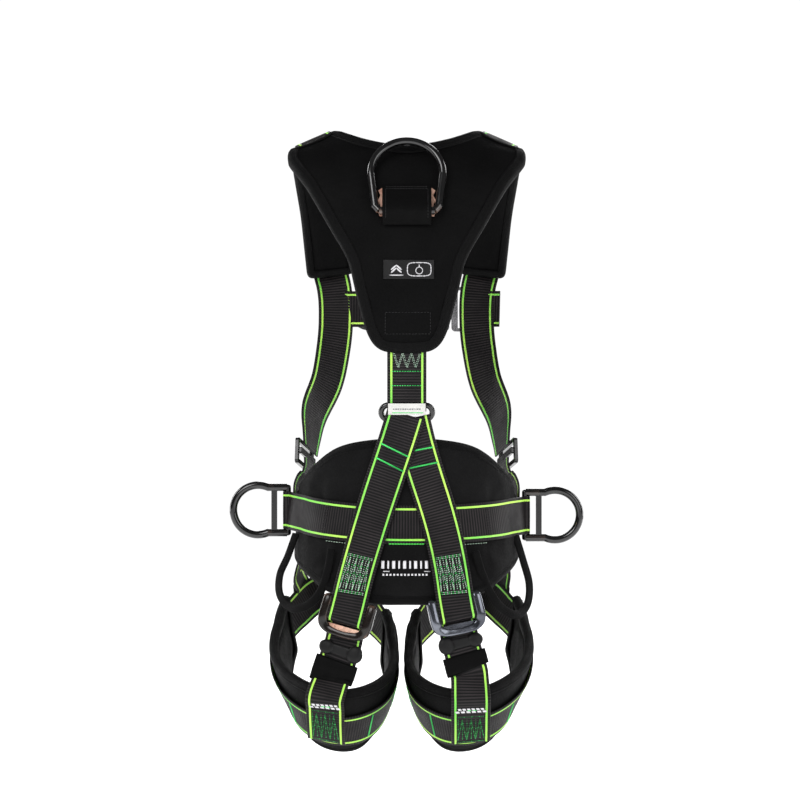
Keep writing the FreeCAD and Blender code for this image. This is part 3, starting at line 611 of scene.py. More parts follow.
def webbing_section(width):
    """Columns round the section, and which of them start a face of a lime line."""
    half, t = width / 2, WEB_T / 2
    columns = mirrored([(-half, 0.0, 0.0), (-half + 0.3, t * 0.7, 0.02), (-half + 1.0, t * 1.04, 0.04),
                        (-half + 3.2, t * 0.94, 0.08), (-half + 3.6, t * 1.05, 0.02),
                        (-half + 4.4, t * 1.3, 0.05), (-half + 5.2, t * 1.05, 0.02),
                        (-half + 5.9, t * 0.9, 0.17), (-half * 0.36, t * 0.96, 0.2), (0.0, t * 0.97, 0.2)])
    lime = set()
    for k, (x, y, _) in enumerate(columns):
        x2, y2, _ = columns[(k + 1) % len(columns)]
        if half - 5.6 < abs((x + x2) / 2) < half - 3.4 and y * y2 > 0:
            lime.add(k)
    return columns, lime


def webbing(name, path, width=WEB, body="harness", own_node=True):
    """Ribbed webbing along a path, in place of the node of its name; returns the object and its strip."""
    strip = Strip(path)
    columns, lime = webbing_section(width)
    points, faces, places = sweep(strip, columns)
    size = len(columns)
    slots = [1 if k < len(faces) - 2 and k % size in lime else 0 for k in range(len(faces))]
    obj = piece(name + "_woven", points, faces, [WEBBING, LIME], slots, places, body,
                "edge_striped_webbing", (name,) if own_node else ())
    return obj, strip


# -------- sewing
class Sewing:
    """Threads gathered into one mesh: each stitch is a short bowed capsule that dips in at its ends."""

    # along the stitch, share of its radius, share of its rise
    RINGS = ((0.0, 0.45, -0.25), (0.2, 0.9, 0.5), (0.5, 1.0, 1.0), (0.8, 0.9, 0.5), (1.0, 0.45, -0.25))
    SIDES = 5

    def __init__(self, name, *materials):
        self.name, self.materials = name, list(materials)
        self.points, self.faces, self.slots = [], [], []

    def stitch(self, a, b, n, radius=0.36, colour=0, rise=0.3):
        side = (b - a).cross(n).normalized()
        faces = tube_faces(len(self.points), len(self.RINGS), self.SIDES)
        for t, r, lift in self.RINGS:
            middle = a.lerp(b, t) + n * (lift * rise)
            for k in range(self.SIDES):
                w = math.radians(360 / self.SIDES * k)
                self.points.append(middle + (side * math.cos(w) + n * math.sin(w)) * radius * r)
        self.faces += faces
        self.slots += [colour] * len(faces)

    def run(self, strip, start, end, lift, length=2.6, gap=0.6, colours=(0,), radius=0.36):
        """A row of stitches from one place on a strip to another: places are (along, across)."""
        total = math.dist(start, end)
        count = max(round(total / (length + gap)), 1)
        for k in range(count):
            t0, t1 = k / count, (k + length / (length + gap)) / count
            spots = [[s + (e - s) * t for s, e in zip(start, end)] for t in (t0, t1)]
            (a, n), (b, _) = [strip.at(s, x, lift) for s, x in spots]
            self.stitch(a, b, n, radius, colours[k % len(colours)])

    def tack(self, strip, start, end, lift=1.15, width=2.6):
        """A bartack: satin stitches packed side by side along a line."""
        pitch, radius, rise = 0.62, 0.38, 0.35
        length = math.dist(start, end)
        count = max(int(length / pitch), 2)
        d = [(e - s) / length for s, e in zip(start, end)]
        for k in range(count):
            t = k / (count - 1)
            s, x = [a + (b - a) * t for a, b in zip(start, end)]
            lean = 0.25 if k % 2 else -0.25
            spots = [(s - d[1] * w + d[0] * lean * w, x + d[0] * w) for w in (-width / 2, width / 2)]
            (a, n), (b, _) = [strip.at(p, q, lift) for p, q in spots]
            self.stitch(a, b, n, radius, 0, rise)

    def box(self, strip, s0, s1, passes=8, colours=(0, 1), rows=2, inner=(1, 1, 1, 0)):
        """A sewn box: rows across both ends and a zigzag with straight passes between them."""
        half, lift = 15.2, 1.15
        for s, step in ((s0, 1.9), (s1, -1.9)):
            for k in range(rows):
                self.run(strip, (s + step * k, -half), (s + step * k, half), lift, 1.7, 0.55, colours)
        low, high = s0 + 3.6, s1 - 3.6
        xs = [-half + 2 * half * k / passes for k in range(passes + 1)]
        for k, (x0, x1) in enumerate(zip(xs, xs[1:])):
            ends = ((low, x0), (high, x1)) if k % 2 else ((high, x0), (low, x1))
            self.run(strip, *ends, lift, 1.2, 1.1, inner, 0.55)
            self.run(strip, (low, x0 + 0.4), (high, x0 + 0.4), lift, 1.1, 1.4, inner, 0.5)

    def finish(self, slot="edge_striped_webbing"):
        return piece(self.name, self.points, self.faces, self.materials, self.slots, None, "harness", slot)


# -------- padded pieces
RIM_SHARE = 0.3                # thickness of a pad at its rim, as a share of the full one
CROWN_REACH = 30.0             # how far in from the rim a pad's crown is reached
CELL = 5.0                     # pitch of the cloth pattern's cells


def edge_distance(cells):
    """Distance in mm from each grid point to the nearest side of the sheet."""
    wide, tall = len(cells), len(cells[0])
    away = [[1e9] * tall for _ in range(wide)]
    for lines in ([[(i, j) for j in range(tall)] for i in range(wide)],
                  [[(i, j) for i in range(wide)] for j in range(tall)]):
        for line in lines:
            run = [0.0]
            for (i, j), (k, l) in zip(line, line[1:]):
                run.append(run[-1] + (cells[i][j][0] - cells[k][l][0]).length)
            for (i, j), r in zip(line, run):
                away[i][j] = min(away[i][j], r, run[-1] - r)
    return away


def pad(name, surface, cells_wide, cells_tall, heights, materials, rim, crown, cloth=None, dip=None,
        slot="pad_fabric", stands_for=()):
    """A padded sheet over surface(u, v) -> (skin point, normal), thin at its rim and filled as cloth.

    materials: the outside and, if it differs, the side against the wearer.
    cloth: voxel, pressure and cap for inflate."""
    cells = [[surface(i / (cells_wide - 1), j / (cells_tall - 1)) for j in range(cells_tall)]
             for i in range(cells_wide)]
    away = edge_distance(cells)
    low, high = heights
    middle, half = (low + high) / 2, (high - low) / 2
    points, places = [], []
    for side in (1, -1):
        for i in range(cells_wide):
            for j in range(cells_tall):
                p, n = cells[i][j]
                d = min(away[i][j] / rim, 1.0)
                thick = half * max(math.sqrt(1 - (1 - d)**2), RIM_SHARE)
                extra = 0.0
                if side > 0:
                    extra = crown * min(away[i][j] / CROWN_REACH, 1.0) - (dip(p, away[i][j]) if dip else 0.0)
                points.append(p + n * (middle + side * thick + extra))
                places.append((i * CELL, j * CELL))
    faces = sheet_faces(0, cells_wide, cells_tall)
    layer = (cells_wide - 1) * (cells_tall - 1)
    slots = [len(materials) - 1 if layer <= k < 2 * layer else 0 for k in range(len(faces))]
    obj = piece(name, points, faces, materials, slots, places, "harness", slot, stands_for)
    if cloth:
        inflate(obj, *cloth)
    return obj


def inflate(obj, voxel, pressure, cap):
    """Lets the pad's cover fill and wrinkle as cloth, moving each point by at most cap mm."""
    bpy.context.view_layer.objects.active = obj
    obj.select_set(True)
    remesh = obj.modifiers.new("even", "REMESH")
    remesh.mode = "VOXEL"
    remesh.voxel_size = voxel * MM
    bpy.ops.object.modifier_apply(modifier=remesh.name)
    start = [v.co.copy() for v in obj.data.vertices]
    cloth = obj.modifiers.new("fill", "CLOTH")
    settings = cloth.settings
    settings.quality = 6
    settings.mass = 0.3
    settings.tension_stiffness = settings.compression_stiffness = 22
    settings.bending_stiffness = 2.0
    settings.use_pressure = True
    settings.uniform_pressure_force = pressure
    settings.effector_weights.gravity = 0
    cloth.point_cache.frame_start = 1
    cloth.point_cache.frame_end = CLOTH_FRAMES
    scene = bpy.context.scene
    for f in range(1, CLOTH_FRAMES + 1):
        scene.frame_set(f)
    depsgraph = bpy.context.evaluated_depsgraph_get()
    filled = [v.co.copy() for v in obj.evaluated_get(depsgraph).data.vertices]
    obj.modifiers.remove(cloth)
    scene.frame_set(1)
    for v, a, b in zip(obj.data.vertices, start, filled):
        move = b - a
        v.co = a + move * min(1.0, cap * MM / max(move.length, 1e-9))
    fine = obj.modifiers.new("round", "SUBSURF")
    fine.levels = fine.render_levels = 1
    bpy.ops.object.modifier_apply(modifier=fine.name)
    obj.data.polygons.foreach_set("use_smooth", [True] * len(obj.data.polygons))
    obj.select_set(False)


class Cover:
    """The filled outside of a pad, for seams and prints that lie on it."""

    def __init__(self, obj):
        self.tree = BVHTree.FromPolygons([v.co / MM for v in obj.data.vertices],
                                         [p.vertices[:] for p in obj.data.polygons])

    def on(self, p, n):
        """The point of the cover straight above a skin point, and the same normal."""
        hit = self.tree.ray_cast(p + n * 40, -n)[0]
        return p if hit is None else hit, n

    def height(self, places):
        """Greatest height of the cover above the skin at some (x, z) places on the back."""
        return max((self.on(*on_back(x, z))[0] - on_back(x, z)[0]).length for x, z in places)


def border(surface):
    """The sheet's outline as an even closed loop of (point, normal), with its corners rounded."""
    steps = [k / 90 for k in range(90)]
    loop = [surface(u, v) for u, v in ([(t, 0.0) for t in steps] + [(1.0, t) for t in steps]
                                       + [(1 - t, 1.0) for t in steps] + [(0.0, 1 - t) for t in steps])]
    flat = [(*p, *n) for p, n in loop + loop[:1]]
    length = sum(math.dist(a[:3], b[:3]) for a, b in zip(flat, flat[1:]))
    even = smooth(flat[::2] + flat[-1:], int(length / 2.5))[:-1]
    pts = [V(e[:3]) for e in even]
    for _ in range(6):
        pts = [(pts[k - 1] + pts[k] * 2 + pts[(k + 1) % len(pts)]) / 4 for k in range(len(pts))]
    return [(p, V(e[3:]).normalized()) for p, e in zip(pts, even)]


def bind_edge(name, surface, low, high, width, stands_for=(), turned=1):
    """Woven tape folded over a sheet's edge: a U section with a raised seam line along the outer face."""
    wall, ridge = 1.1, 0.7
    lo, hi = low - 0.4, high + 0.5
    middle = (lo + hi) / 2
    outer = [(-width, hi - 0.3), (-width + 0.8, hi + 0.5), (-width + 2.2, hi + 0.2 + ridge),
             (-width + 3.4, hi + 0.1), (-width * 0.45, hi + 0.7), (-1.2, hi + 0.2), (1.2, hi - 1.8),
             (2.2, middle), (1.2, lo + 1.8), (-1.2, lo - 0.1), (-width * 0.5, lo - 0.4),
             (-width + 1, lo - 0.3)]
    ring = outer + [(x - wall if x > -width * 0.3 else x, y - math.copysign(wall, y - middle))
                    for x, y in reversed(outer)]
    loop = border(surface)
    points, places = [], []
    run = 0.0
    for i, (p, n) in enumerate(loop):
        after = loop[(i + 1) % len(loop)][0]
        away = (after - loop[i - 1][0]).normalized().cross(n).normalized() * turned
        for x, y in ring:
            points.append(p + away * x + n.normalized() * y)
            places.append((x, run))
        run += (after - p).length
    faces = tube_faces(0, len(loop), len(ring), loop=True)
    piece(name, points, faces, [BINDING], None, places, "harness", "binding_tape", stands_for)


# -------- back yoke
YOKE_BOTTOM = [(0, 201), (20, 202), (30, 205), (38, 213), (44, 226), (50, 247), (55, 266), (59, 284),
               (63.5, 302), (72.5, 320), (83, 337), (95.5, 358), (109, 380), (121, 396), (134, 412)]
YOKE_TOP = [(0, 431), (30, 435), (50, 440), (66, 446), (82, 454), (134, 454)]


def rounded_table(table):
    """The same outline with a smooth line through its points."""
    return smooth([(x, z, 0.0) for x, z in table], 160)


def from_list(table, x):
    x = abs(x)
    for (x0, z0, *_), (x1, z1, *_) in zip(table, table[1:]):
        if x <= x1:
            return z0 + (z1 - z0) * (x - x0) / max(x1 - x0, 1e-6)
    return table[-1][1]


YOKE_LOW = rounded_table(YOKE_BOTTOM)


def on_back(x, z):
    """The skin's point and normal at one place on the back."""
    p = V((x, back_y(x, z), z))
    return p, outward(p)


def yoke_surface(u, v):
    x = (2 * u - 1) * 134
    low = from_list(YOKE_LOW, x)
    top = min(from_list(YOKE_TOP, x), crest(x) - 4)
    z = low + (top - low) * v
    return on_back(x, z)


def build_yoke():
    pad("yoke_lining", yoke_surface, 68, 50, LINING, [SPACER], 4.0, 0.0, slot="spacer_mesh",
        stands_for=("back_pad_lining",))
    cover = pad("yoke_cover", yoke_surface, 68, 50, (LINING[1] + 0.2, COVER[1] - 0.6), [PAD], 7.0, 0.0,
                cloth=(4.5, 3.0, 1.0), stands_for=("back_pad_cover",))
    bind_edge("yoke_binding", yoke_surface, LINING[0], COVER[1], 12.0, ("back_pad_binding",))
    skin = Cover(cover)
    sewing = Sewing("yoke_stitching", THREAD_BLACK)
    pocket = [(-24, 246), (26, 246), (26, 222), (-24, 222), (-24, 246)]
    for (x0, z0), (x1, z1) in zip(pocket, pocket[1:]):
        spots = [(x0 + (x1 - x0) * k / 6, z0 + (z1 - z0) * k / 6) for k in range(7)]
        seam = Strip([skin.on(*on_back(x, z)) for x, z in spots], 2.0)
        sewing.run(seam, (0, 0), (seam.length, 0), 0.15, 2.8, 1.0, (0,), 0.32)
    sewing.finish("pad_fabric")
    build_back_label(skin)


# -------- shoulders
SHOULDER_PAD = [(108, -44, 6.5), (108, -20, 6.5), (107, 8, 6.5)]         # over the top: x, y, height
SHOULDER_PAD_FRONT = [(104, 405, 6.5), (99, 370, 6.5), (95, 330, 6.5), (92, 300, 6.5)]   # x, z, height
STRAP_BACK = [(22, 372, INSIDE), (45, 392, INSIDE), (72, 414, INSIDE), (93, 430, 9.4)]
STRAP_TOP = [(103, -44, 12.8), (106, -20, 15.6), (106, 8, 13.6)]
STRAP_FRONT = [(103, 403, 13.2), (98, 368, 13.2), (94, 330, 13.2), (91, 302, 13.2), (88, 280, 5),
               (87, 250, FRONT_H), (89, 215, FRONT_H), (97, 168, FRONT_H)]
STRAP_SIDE = [(122, 125, FRONT_H), (110, 92, 2.4), (108, 83, 2.4)]        # turn, z, height


def each(place, side, spots):
    """Places on one side of the body: place is one of the at_ functions."""
    return [place(side * a, b, height) for a, b, height in spots]


def build_shoulders():
    for side, s in SIGN.items():
        strip = Strip(lay(each(at_top, s, SHOULDER_PAD) + each(at_front, s, SHOULDER_PAD_FRONT), 22), 4.0)

        def surface(u, v):
            return strip.at(u * strip.length, (2 * v - 1) * 29, 0.0)

        pad("shoulder_pad_soft_" + side, surface, 56, 16, (-5.0, 5.0), [PAD], 6.0, 0.4,
            cloth=(4.5, 3.0, 1.2), stands_for=("shoulder_pad_" + side,))
        bind_edge("shoulder_binding_" + side, surface, -5.0, 4.8, 8.0)
        route = (each(at_back, s, STRAP_BACK) + each(at_top, s, STRAP_TOP) + each(at_front, s, STRAP_FRONT)
                 + each(at_side, s, STRAP_SIDE))
        _, strap = webbing("shoulder_strap_" + side, lay(route, 44))
        sewing = Sewing("shoulder_stitching_" + side, THREAD_GREEN, THREAD_PALE)
        for z in (318, 292):
            s0 = strap.level(z, True)
            sewing.run(strap, (s0, -16), (s0, 16), 1.2, 1.8, 0.7, (0, 1))
        sewing.finish()


# -------- dorsal ring
def dorsal_frame():
    bar = V((0, back_y(0, 352), 352))
    up = (V((0, back_y(0, 398), 398)) - bar).normalized()
    out = V((1, 0, 0)).cross(up)
    return bar + out * (COVER[1] + 3.6 + DORSAL_ROD), up, out


def build_dorsal():
    bar, up, out = dorsal_frame()
    r = DORSAL_ROD + 0.5 + WEB_T / 2
    path = [(bar + up * 32 - out * 2.0, out)]
    path += bridge(path[0], (bar + out * r + up * 6, out), 4)
    path += [(bar + out * r + up * 3, out)]
    path += fold(bar, out, -up, r, 0, 60, steps=6)
    end = (bar - out * 6.9 - up * 14, out)
    path += bridge(path[-1], end, 2) + [end]
    strip = Strip(path)
    hem = [(-28.0, 0, 0), (-27.4, 0.9, 0), (-25.4, 1.5, 0), (-23.8, 1.0, 0), (-10, 1.0, 0.03), (0, 1.0, 0.03)]
    band("dorsal_flap", strip, mirrored(hem), FLAP, "flap_fabric", ("dorsal_web_flap",))
    sewing = Sewing("flap_stitching", THREAD_BLACK)
    for start, end in (((3, -24), (3, 24)), ((6, -24), (6, 24)), ((6, -24), (strip.length - 8, -24)),
                       ((6, 24), (strip.length - 8, 24))):
        sewing.run(strip, start, end, 1.2, 2.4, 0.9)
    sewing.finish("flap_fabric")


# -------- straps down the back
ADJUSTER = {"left": (-65.0, -108.0), "right": (54.0, -104.0)}
DIAGONAL = {"left": [(-1, 131), (-8, 105), (-16, 78), (-25, 48), (-33.5, 18), (-44, -20), (-53, -55),
                     (-59, -75)],
            "right": [(4, 126), (8, 105), (15, 78), (23, 48), (32, 18), (41, -20), (47.5, -55),
                      (50.5, -73)]}
CROSSING = {"left": (18.3, CROSS_H, CROSS_H, 16.4), "right": (15.6, 15.7, 15.7, 15.7)}


def adjuster_frame(side):
    x, z = ADJUSTER[side]
    p = V((x, back_y(x, z), z))
    out = outward(p)
    above, below = DIAGONAL[side][-1], (x * 1.12, z - 22)
    along = V((above[0] - below[0], 0, above[1] - below[1]))
    along = (along - out * along.dot(out)).normalized()
    return p + out * 15.5, along, out


def bar_print(name, strip, spots, lift, material):
    """Flat printed or woven marks on a strip: each spot is (along, across, length, width, lean)."""
    thick = 0.35
    points, faces, places = [], [], []
    for s, x, length, width, lean in spots:
        first = len(points)
        across = max(int(width / 3), 1) + 1
        for up in (lift, lift + thick):
            for k in range(across):
                w = (k / (across - 1) - 0.5) * width
                for t in (-0.5, 0.5):
                    points.append(strip.at(s + t * length, x + w + lean * t * length, up)[0])
                    places.append((x + w, s + t * length))
        faces += sheet_faces(first, across, 2)
    piece(name, points, faces, [material], None, places, "harness", "printed_label")


def build_centre():
    route = [at_back(0, z, height) for z, height in ((346, INSIDE), (290, INSIDE), (215, INSIDE), (195, 9),
                                                     (168, 12), (150, 15.2), (134, 15.5))]
    _, strap = webbing("centre_strap", lay(route, 22))
    sewing = Sewing("centre_stitching", THREAD_GREEN, THREAD_PALE)
    low, high = strap.level(181), strap.level(197)
    for k in range(6):
        x0 = -15 + 5 * k
        (s0, s1) = (high, low) if k % 2 == 0 else (low, high)
        for shift in (-0.6, 0.9):
            sewing.run(strap, (s0, x0 + shift), (s1, x0 + 5 + shift), 1.15, 1.3, 0.9, (1,), 0.28)
    for z in (177, 160):
        s = strap.level(z)
        sewing.run(strap, (s, -17.5), (s, 17.5), 1.2, 2.1, 0.8, (0,), 0.55)
    sewing.finish()
    strip = Strip(lay([at_back(0, 144, 19.8), at_back(0, 131, 20.2)], 3), 1.0)
    band("load_label", strip, label_section(21.5, 0.2, 0.35, 10, 0.42), SATIN, "printed_label",
         ("sewn_labels",))
    marks = [(strip.length * 0.5, -15 + 2.7 * k, 1.5, 1.9 if k % 3 else 1.1, 0.0) for k in range(12)]
    bar_print("load_label_marks", strip, marks, 0.35, PRINT_GREY)
    bar_print("load_label_line", strip, [(strip.length * 0.82, 1, 0.8, 36, 0.0)], 0.35, THREAD_GREEN)


def build_back_label(skin):
    """Patch with a plain pictogram: a ring in a round-cornered box beside two chevrons."""
    height = skin.height([(x, z) for x in range(-26, 31, 7) for z in (284, 293, 303)]) + 0.35
    strip = Strip(lay([at_back(2, 304, height), at_back(2, 283, height)], 4), 1.0)
    band("back_label", strip, label_section(29.0, 0.4, 0.4, 15, 0.45), PATCH, "printed_label")
    sewing = Sewing("back_label_print", PRINT)
    middle = strip.length / 2
    sense = strip.way(0)

    def stroke(spots, width):
        """A raised line through places (to the right, down) from the label's middle."""
        for a, b in zip(spots, spots[1:]):
            (p, n), (q, _) = [strip.at(down + middle, sense * x, 0.35) for x, down in (a, b)]
            sewing.stitch(p, q, n, width / 2, 0, 0.12)

    corner = [squircle(math.radians(a), 0.5, 0.5) for a in range(0, 361, 12)]
    circle = [squircle(math.radians(a), 1, 1) for a in range(0, 361, 30)]
    stroke([(12 + 13.5 * c, 7.6 * s) for c, s in corner], 1.4)
    stroke([(12 + 4 * c, 1.4 + 4 * s) for c, s in circle], 1.2)
    stroke([(12, -2.6), (12, -5.4)], 1.5)
    for row in (0, 3.2):
        stroke([(-20, 0.6 + row), (-14, -4.8 + row), (-8, 0.6 + row)], 2.2)
    stroke([(-22, 6.6), (-6, 6.6)], 1.5)
    sewing.finish("printed_label")


# one half of the cast frame from its ear to the middle: x, z, height, half width, half depth of its section
CAST_HALF = [(-27.0, 22.0, 0.8, 1.6, 1.6), (-27.0, 20.6, 0.8, 4.0, 3.6), (-27.1, 17.0, 0.9, 5.2, 4.9),
             (-27.2, 6, 0.8, 5.4, 5.2), (-27.0, -5, 0.2, 5.6, 4.8), (-25.0, -12, -0.6, 5.6, 3.8),
             (-19, -17.0, -1.0, 4.6, 2.8), (-10, -18.7, -0.8, 3.9, 2.5), (0, -19.2, -0.8, 3.6, 2.5)]
CAST_BARS = [(-3.0, 26.5, 0.0), (17.0, 26.0, -1.0)]       # z, half length, height
CAST_BAR_R = 2.4


def build_diagonals():
    for side in SIGN:
        centre, along, out = adjuster_frame(side)
        heights = CROSSING[side] + (DIAGONAL_H,) * 4
        route = [at_back(x, z, h) for (x, z), h in zip(DIAGONAL[side], heights)]
        r = CAST_BAR_R + 0.25 + WEB_T / 2
        path = ease(lay(route, 24) + [(centre + along * k + out * r, out) for k in (27, 16, 6, -1)], 10)
        rod = centre - along * 3
        path += fold(rod, out, -along, r, 0, 180) + [(rod + along * 12 - out * r, -out)]
        _, strap = webbing("diagonal_strap_" + side, path)
        sewing = Sewing("diagonal_stitching_" + side, THREAD_GREEN, THREAD_PALE)
        sense = strap.way(0, 4)
        heights, lean = ((86, 69), 2.4) if side == "left" else ((86, 68), 1.6)
        for z in heights:
            s0 = strap.level(z)
            sewing.tack(strap, (s0 - lean, sense * -17), (s0 + lean, sense * 17), width=2.0)
        sewing.box(strap, strap.level(-36), strap.level(-77))
        sewing.finish()
        build_adjuster(side, centre, along, out)


def build_adjuster(side, centre, along, out):
    """Cast frame: raised round ears at the sides, a deep curved band below and round bars for the strap."""
    across = out.cross(along)
    size = 16
    turns = [2 * math.pi * k / size for k in range(size)]

    def at(x, z, y):
        return centre + across * x + along * z + out * y

    rows = smooth(CAST_HALF + [(-x, *rest) for x, *rest in reversed(CAST_HALF[:-1])], 90)
    points = []
    for i, (x, z, y, w, h) in enumerate(rows):
        a, b = rows[max(i - 1, 0)], rows[min(i + 1, len(rows) - 1)]
        d = (V(b[:2]) - V(a[:2])).normalized()
        for t in turns:
            flat, high = squircle(t, 0.55, 0.55)
            points.append(at(x + d.y * flat * w, z - d.x * flat * w, y + high * h))
    faces = tube_faces(0, len(rows), size)
    for z, reach, y in CAST_BARS:
        faces += tube_faces(len(points), 5, size)
        for share in (-1, -0.5, 0, 0.5, 1):
            points += [at(reach * share, z + CAST_BAR_R * math.cos(t), y + CAST_BAR_R * math.sin(t))
                       for t in turns]
    metal = DARK_STEEL if side == "right" else COPPER_GLINT_FRAME
    piece("rear_adjuster_cast_" + side, points, faces, [metal], None, None, "harness", "black_steel_frame",
          ("rear_adjuster_" + side,))


# -------- waist belt
BELT_TOP = [(0, 98), (10, 97.5), (20, 95), (30, 91), (40, 84), (50, 73), (60, 62), (70, 52), (80, 44),
            (90, 36), (97, 26)]
BELT_BOTTOM = [(0, -90), (10, -90), (20, -87.5), (30, -82), (40, -76), (50, -67), (60, -59), (70, -52),
               (80, -46), (90, -38), (97, -28)]
BELT_TOP_LINE = rounded_table(BELT_TOP)
BELT_BOTTOM_LINE = rounded_table(BELT_BOTTOM)
BELT_TURN = 97.0               # how far the pad goes round from the spine, in degrees
BELT_BACK_Z = -2.0             # the webbing's middle line at the spine and at the buckle
BELT_FRONT_Z = 8.0


def belt_z(turn):
    """Height of the belt's middle line, which rises from the spine to each side ring."""
    ring = SIDE_Z["left" if turn < 0 else "right"]
    share = abs(turn) / 80
    if share < 1:
        return BELT_BACK_Z + (ring - BELT_BACK_Z) * share**1.5
    return ring + (BELT_FRONT_Z - ring) * (share - 1)


def belt_surface(u, v):
    turn = (2 * u - 1) * BELT_TURN
    low, top = from_list(BELT_BOTTOM_LINE, turn), from_list(BELT_TOP_LINE, turn)
    p = V(at_side(turn, low + (top - low) * v)[:3])
    return p, outward(p)


def belt_channels(p, away):
    """Sewn channels beside the spine and near the ends of the pad."""
    depth = 0.0
    for x in (-89, 89):
        d = abs(p.x - x - (p.z + 20) * 0.06 * math.copysign(1, x))
        depth = max(depth, 2.6 * math.exp(-(d / 2.2)**2))
    for x in (-36, 36):
        depth = max(depth, 1.2 * math.exp(-((abs(p.x - x)) / 2.0)**2))
    return depth * min(away / 12, 1.0)


def build_belt():
    soft = pad("belt_pad_soft", belt_surface, 110, 44, (BELT_PAD[0], BELT_PAD[1] - 0.6),
               [BELT_FABRIC, SPACER], 7.0, 0.4, cloth=(5.0, 3.5, 1.6), dip=belt_channels,
               stands_for=("belt_pad",))
    bind_edge("belt_binding", belt_surface, BELT_PAD[0], BELT_PAD[1] - 0.8, 8.5, ("belt_pad_binding",))
    middle = lay([at_side(t, belt_z(t), BELT_H) for t in range(-66, 67, 12)], 24)
    left, right = [fold(V((s * SIDE_BAR_X, 0, SIDE_Z[side])), V((0, -1, 0)), V((s, 0, 0)), FOLD_R, 0, 205,
                        steps=11) for side, s in SIGN.items()]
    path = list(reversed(left)) + bridge(left[0], middle[0], 4) + middle
    path += bridge(middle[-1], right[0], 4) + right
    _, strap = webbing("belt_webbing", path)
    sewing = Sewing("belt_stitching", THREAD_PALE, LIME, THREAD_BLACK)
    centre = strap.length / 2
    down = -strap.way(2, len(strap.frames) // 2)
    for s in (-1, 1):
        sewing.run(strap, (centre + s * 62, down * 24.6), (centre + s * 96, down * 24.6), -0.6, 2.0, 1.4,
                   (0,), 0.3)
        for reach in (98, 101.2):
            sewing.run(strap, (centre + s * reach, -17), (centre + s * reach, 17), 1.1, 2.2, 0.8, (2,))
    sewing.run(strap, (centre - 20, down * 22.4), (centre + 20, down * 22.4), 0.9, 3.0, 0.0, (1,), 0.85)
    sewing.finish()
    skin = Cover(soft)
    height = skin.height([(x, z) for x in range(-32, 33, 8) for z in (-62, -52, -46)]) + 0.1
    bars = Strip([(p + n * height, n) for p, n in (on_back(-32 + 4 * k, -52) for k in range(17))], 2.0)
    down = -bars.way(2)
    marks = [(6 + 6.3 * k, down * -3.6, 2.0 if k % 2 else 3.6, 9.0, 0.0) for k in range(9)]
    marks += [(bars.length / 2, down * 4.2, 54, 1.0, 0.0)]
    marks += [(7 + 4.1 * k, down * 8.0, 2.2, 2.2, 0.0) for k in range(13)]
    bar_print("belt_print", bars, marks, 0.1, PRINT)


# -------- buckle straps in front
BUCKLE_AT = {"chest": (26.0, 258.0), "waist": (0.0, 8.0)}
BUCKLE_H = 9.5
HOUSING_BAR = -35.0
TONGUE_BAR = 46.5


RIGHT = V((1, 0, 0))


def level_with(way, out):
    """A direction turned flat against the surface whose normal is out."""
    return (way - out * way.dot(out)).normalized()


def buckle_frame(name):
    x, z = BUCKLE_AT[name]
    p = V((x, front_y(x, z), z))
    out = outward(p)
    return p + out * BUCKLE_H, level_with(RIGHT, out), out


def end_on_buckle(path, name, side):
    """The strap's way to its bar, and its turn round the bar back over itself."""
    origin, along, out = buckle_frame(name)
    s = SIGN[side]
    edge = HOUSING_BAR if side == "left" else TONGUE_BAR
    level = -5.0 if side == "left" else 0.0
    r = 2.6 if side == "left" else 3.0
    centre = origin + along * (edge - s * 0.5) + out * level
    inward = along * -s
    turn = fold(centre, out, inward, r, 180, 0, facing=-1)
    join = (centre - out * r - inward * 12, out)
    tail = (centre + out * (r + 0.2) - inward * 13, turn[-1][1])
    lead = path + bridge(path[-1], join, 2) + [join]
    return lead, [join] + turn + bridge(turn[-1], tail, 1) + [tail]


def build_belt_front():
    for side, s in SIGN.items():
        reach = 154 if side == "left" else 150
        route = [at_side(s * t, belt_z(s * t), h)
                 for t, h in ((84, BELT_H), (90, BELT_H), (96, BELT_H), (104, 9), (114, FRONT_H),
                              (126, FRONT_H), (138, FRONT_H), (reach, FRONT_H))]
        lead, turn = end_on_buckle(lay(route, 22), "waist", side)
        two_part_strap("belt_front_", side, lead, turn, "waist")


def two_part_strap(name, side, lead, turn, buckle):
    """The left strap is whole. The right one has its turn on the tongue."""
    if side == "left":
        webbing(name + side, lead + turn[1:])
    else:
        obj, _ = webbing(name + side, lead)
        webbing(name + side + "_turn", turn, body=buckle + "_tongue", own_node=False)
        anchor = lead[0][0]
        travel_way = buckle_frame(buckle)[1]
        reach = (anchor - lead[-1][0]).dot(travel_way)
        tuple(travel_way)
        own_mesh(obj)


def sternal_bar():
    """Middle of the ring's bar, and the normal there."""
    x, z = -41.0, 258.0
    p = V((x, front_y(x, z), z))
    out = outward(p)
    return p + out * 9.0, out


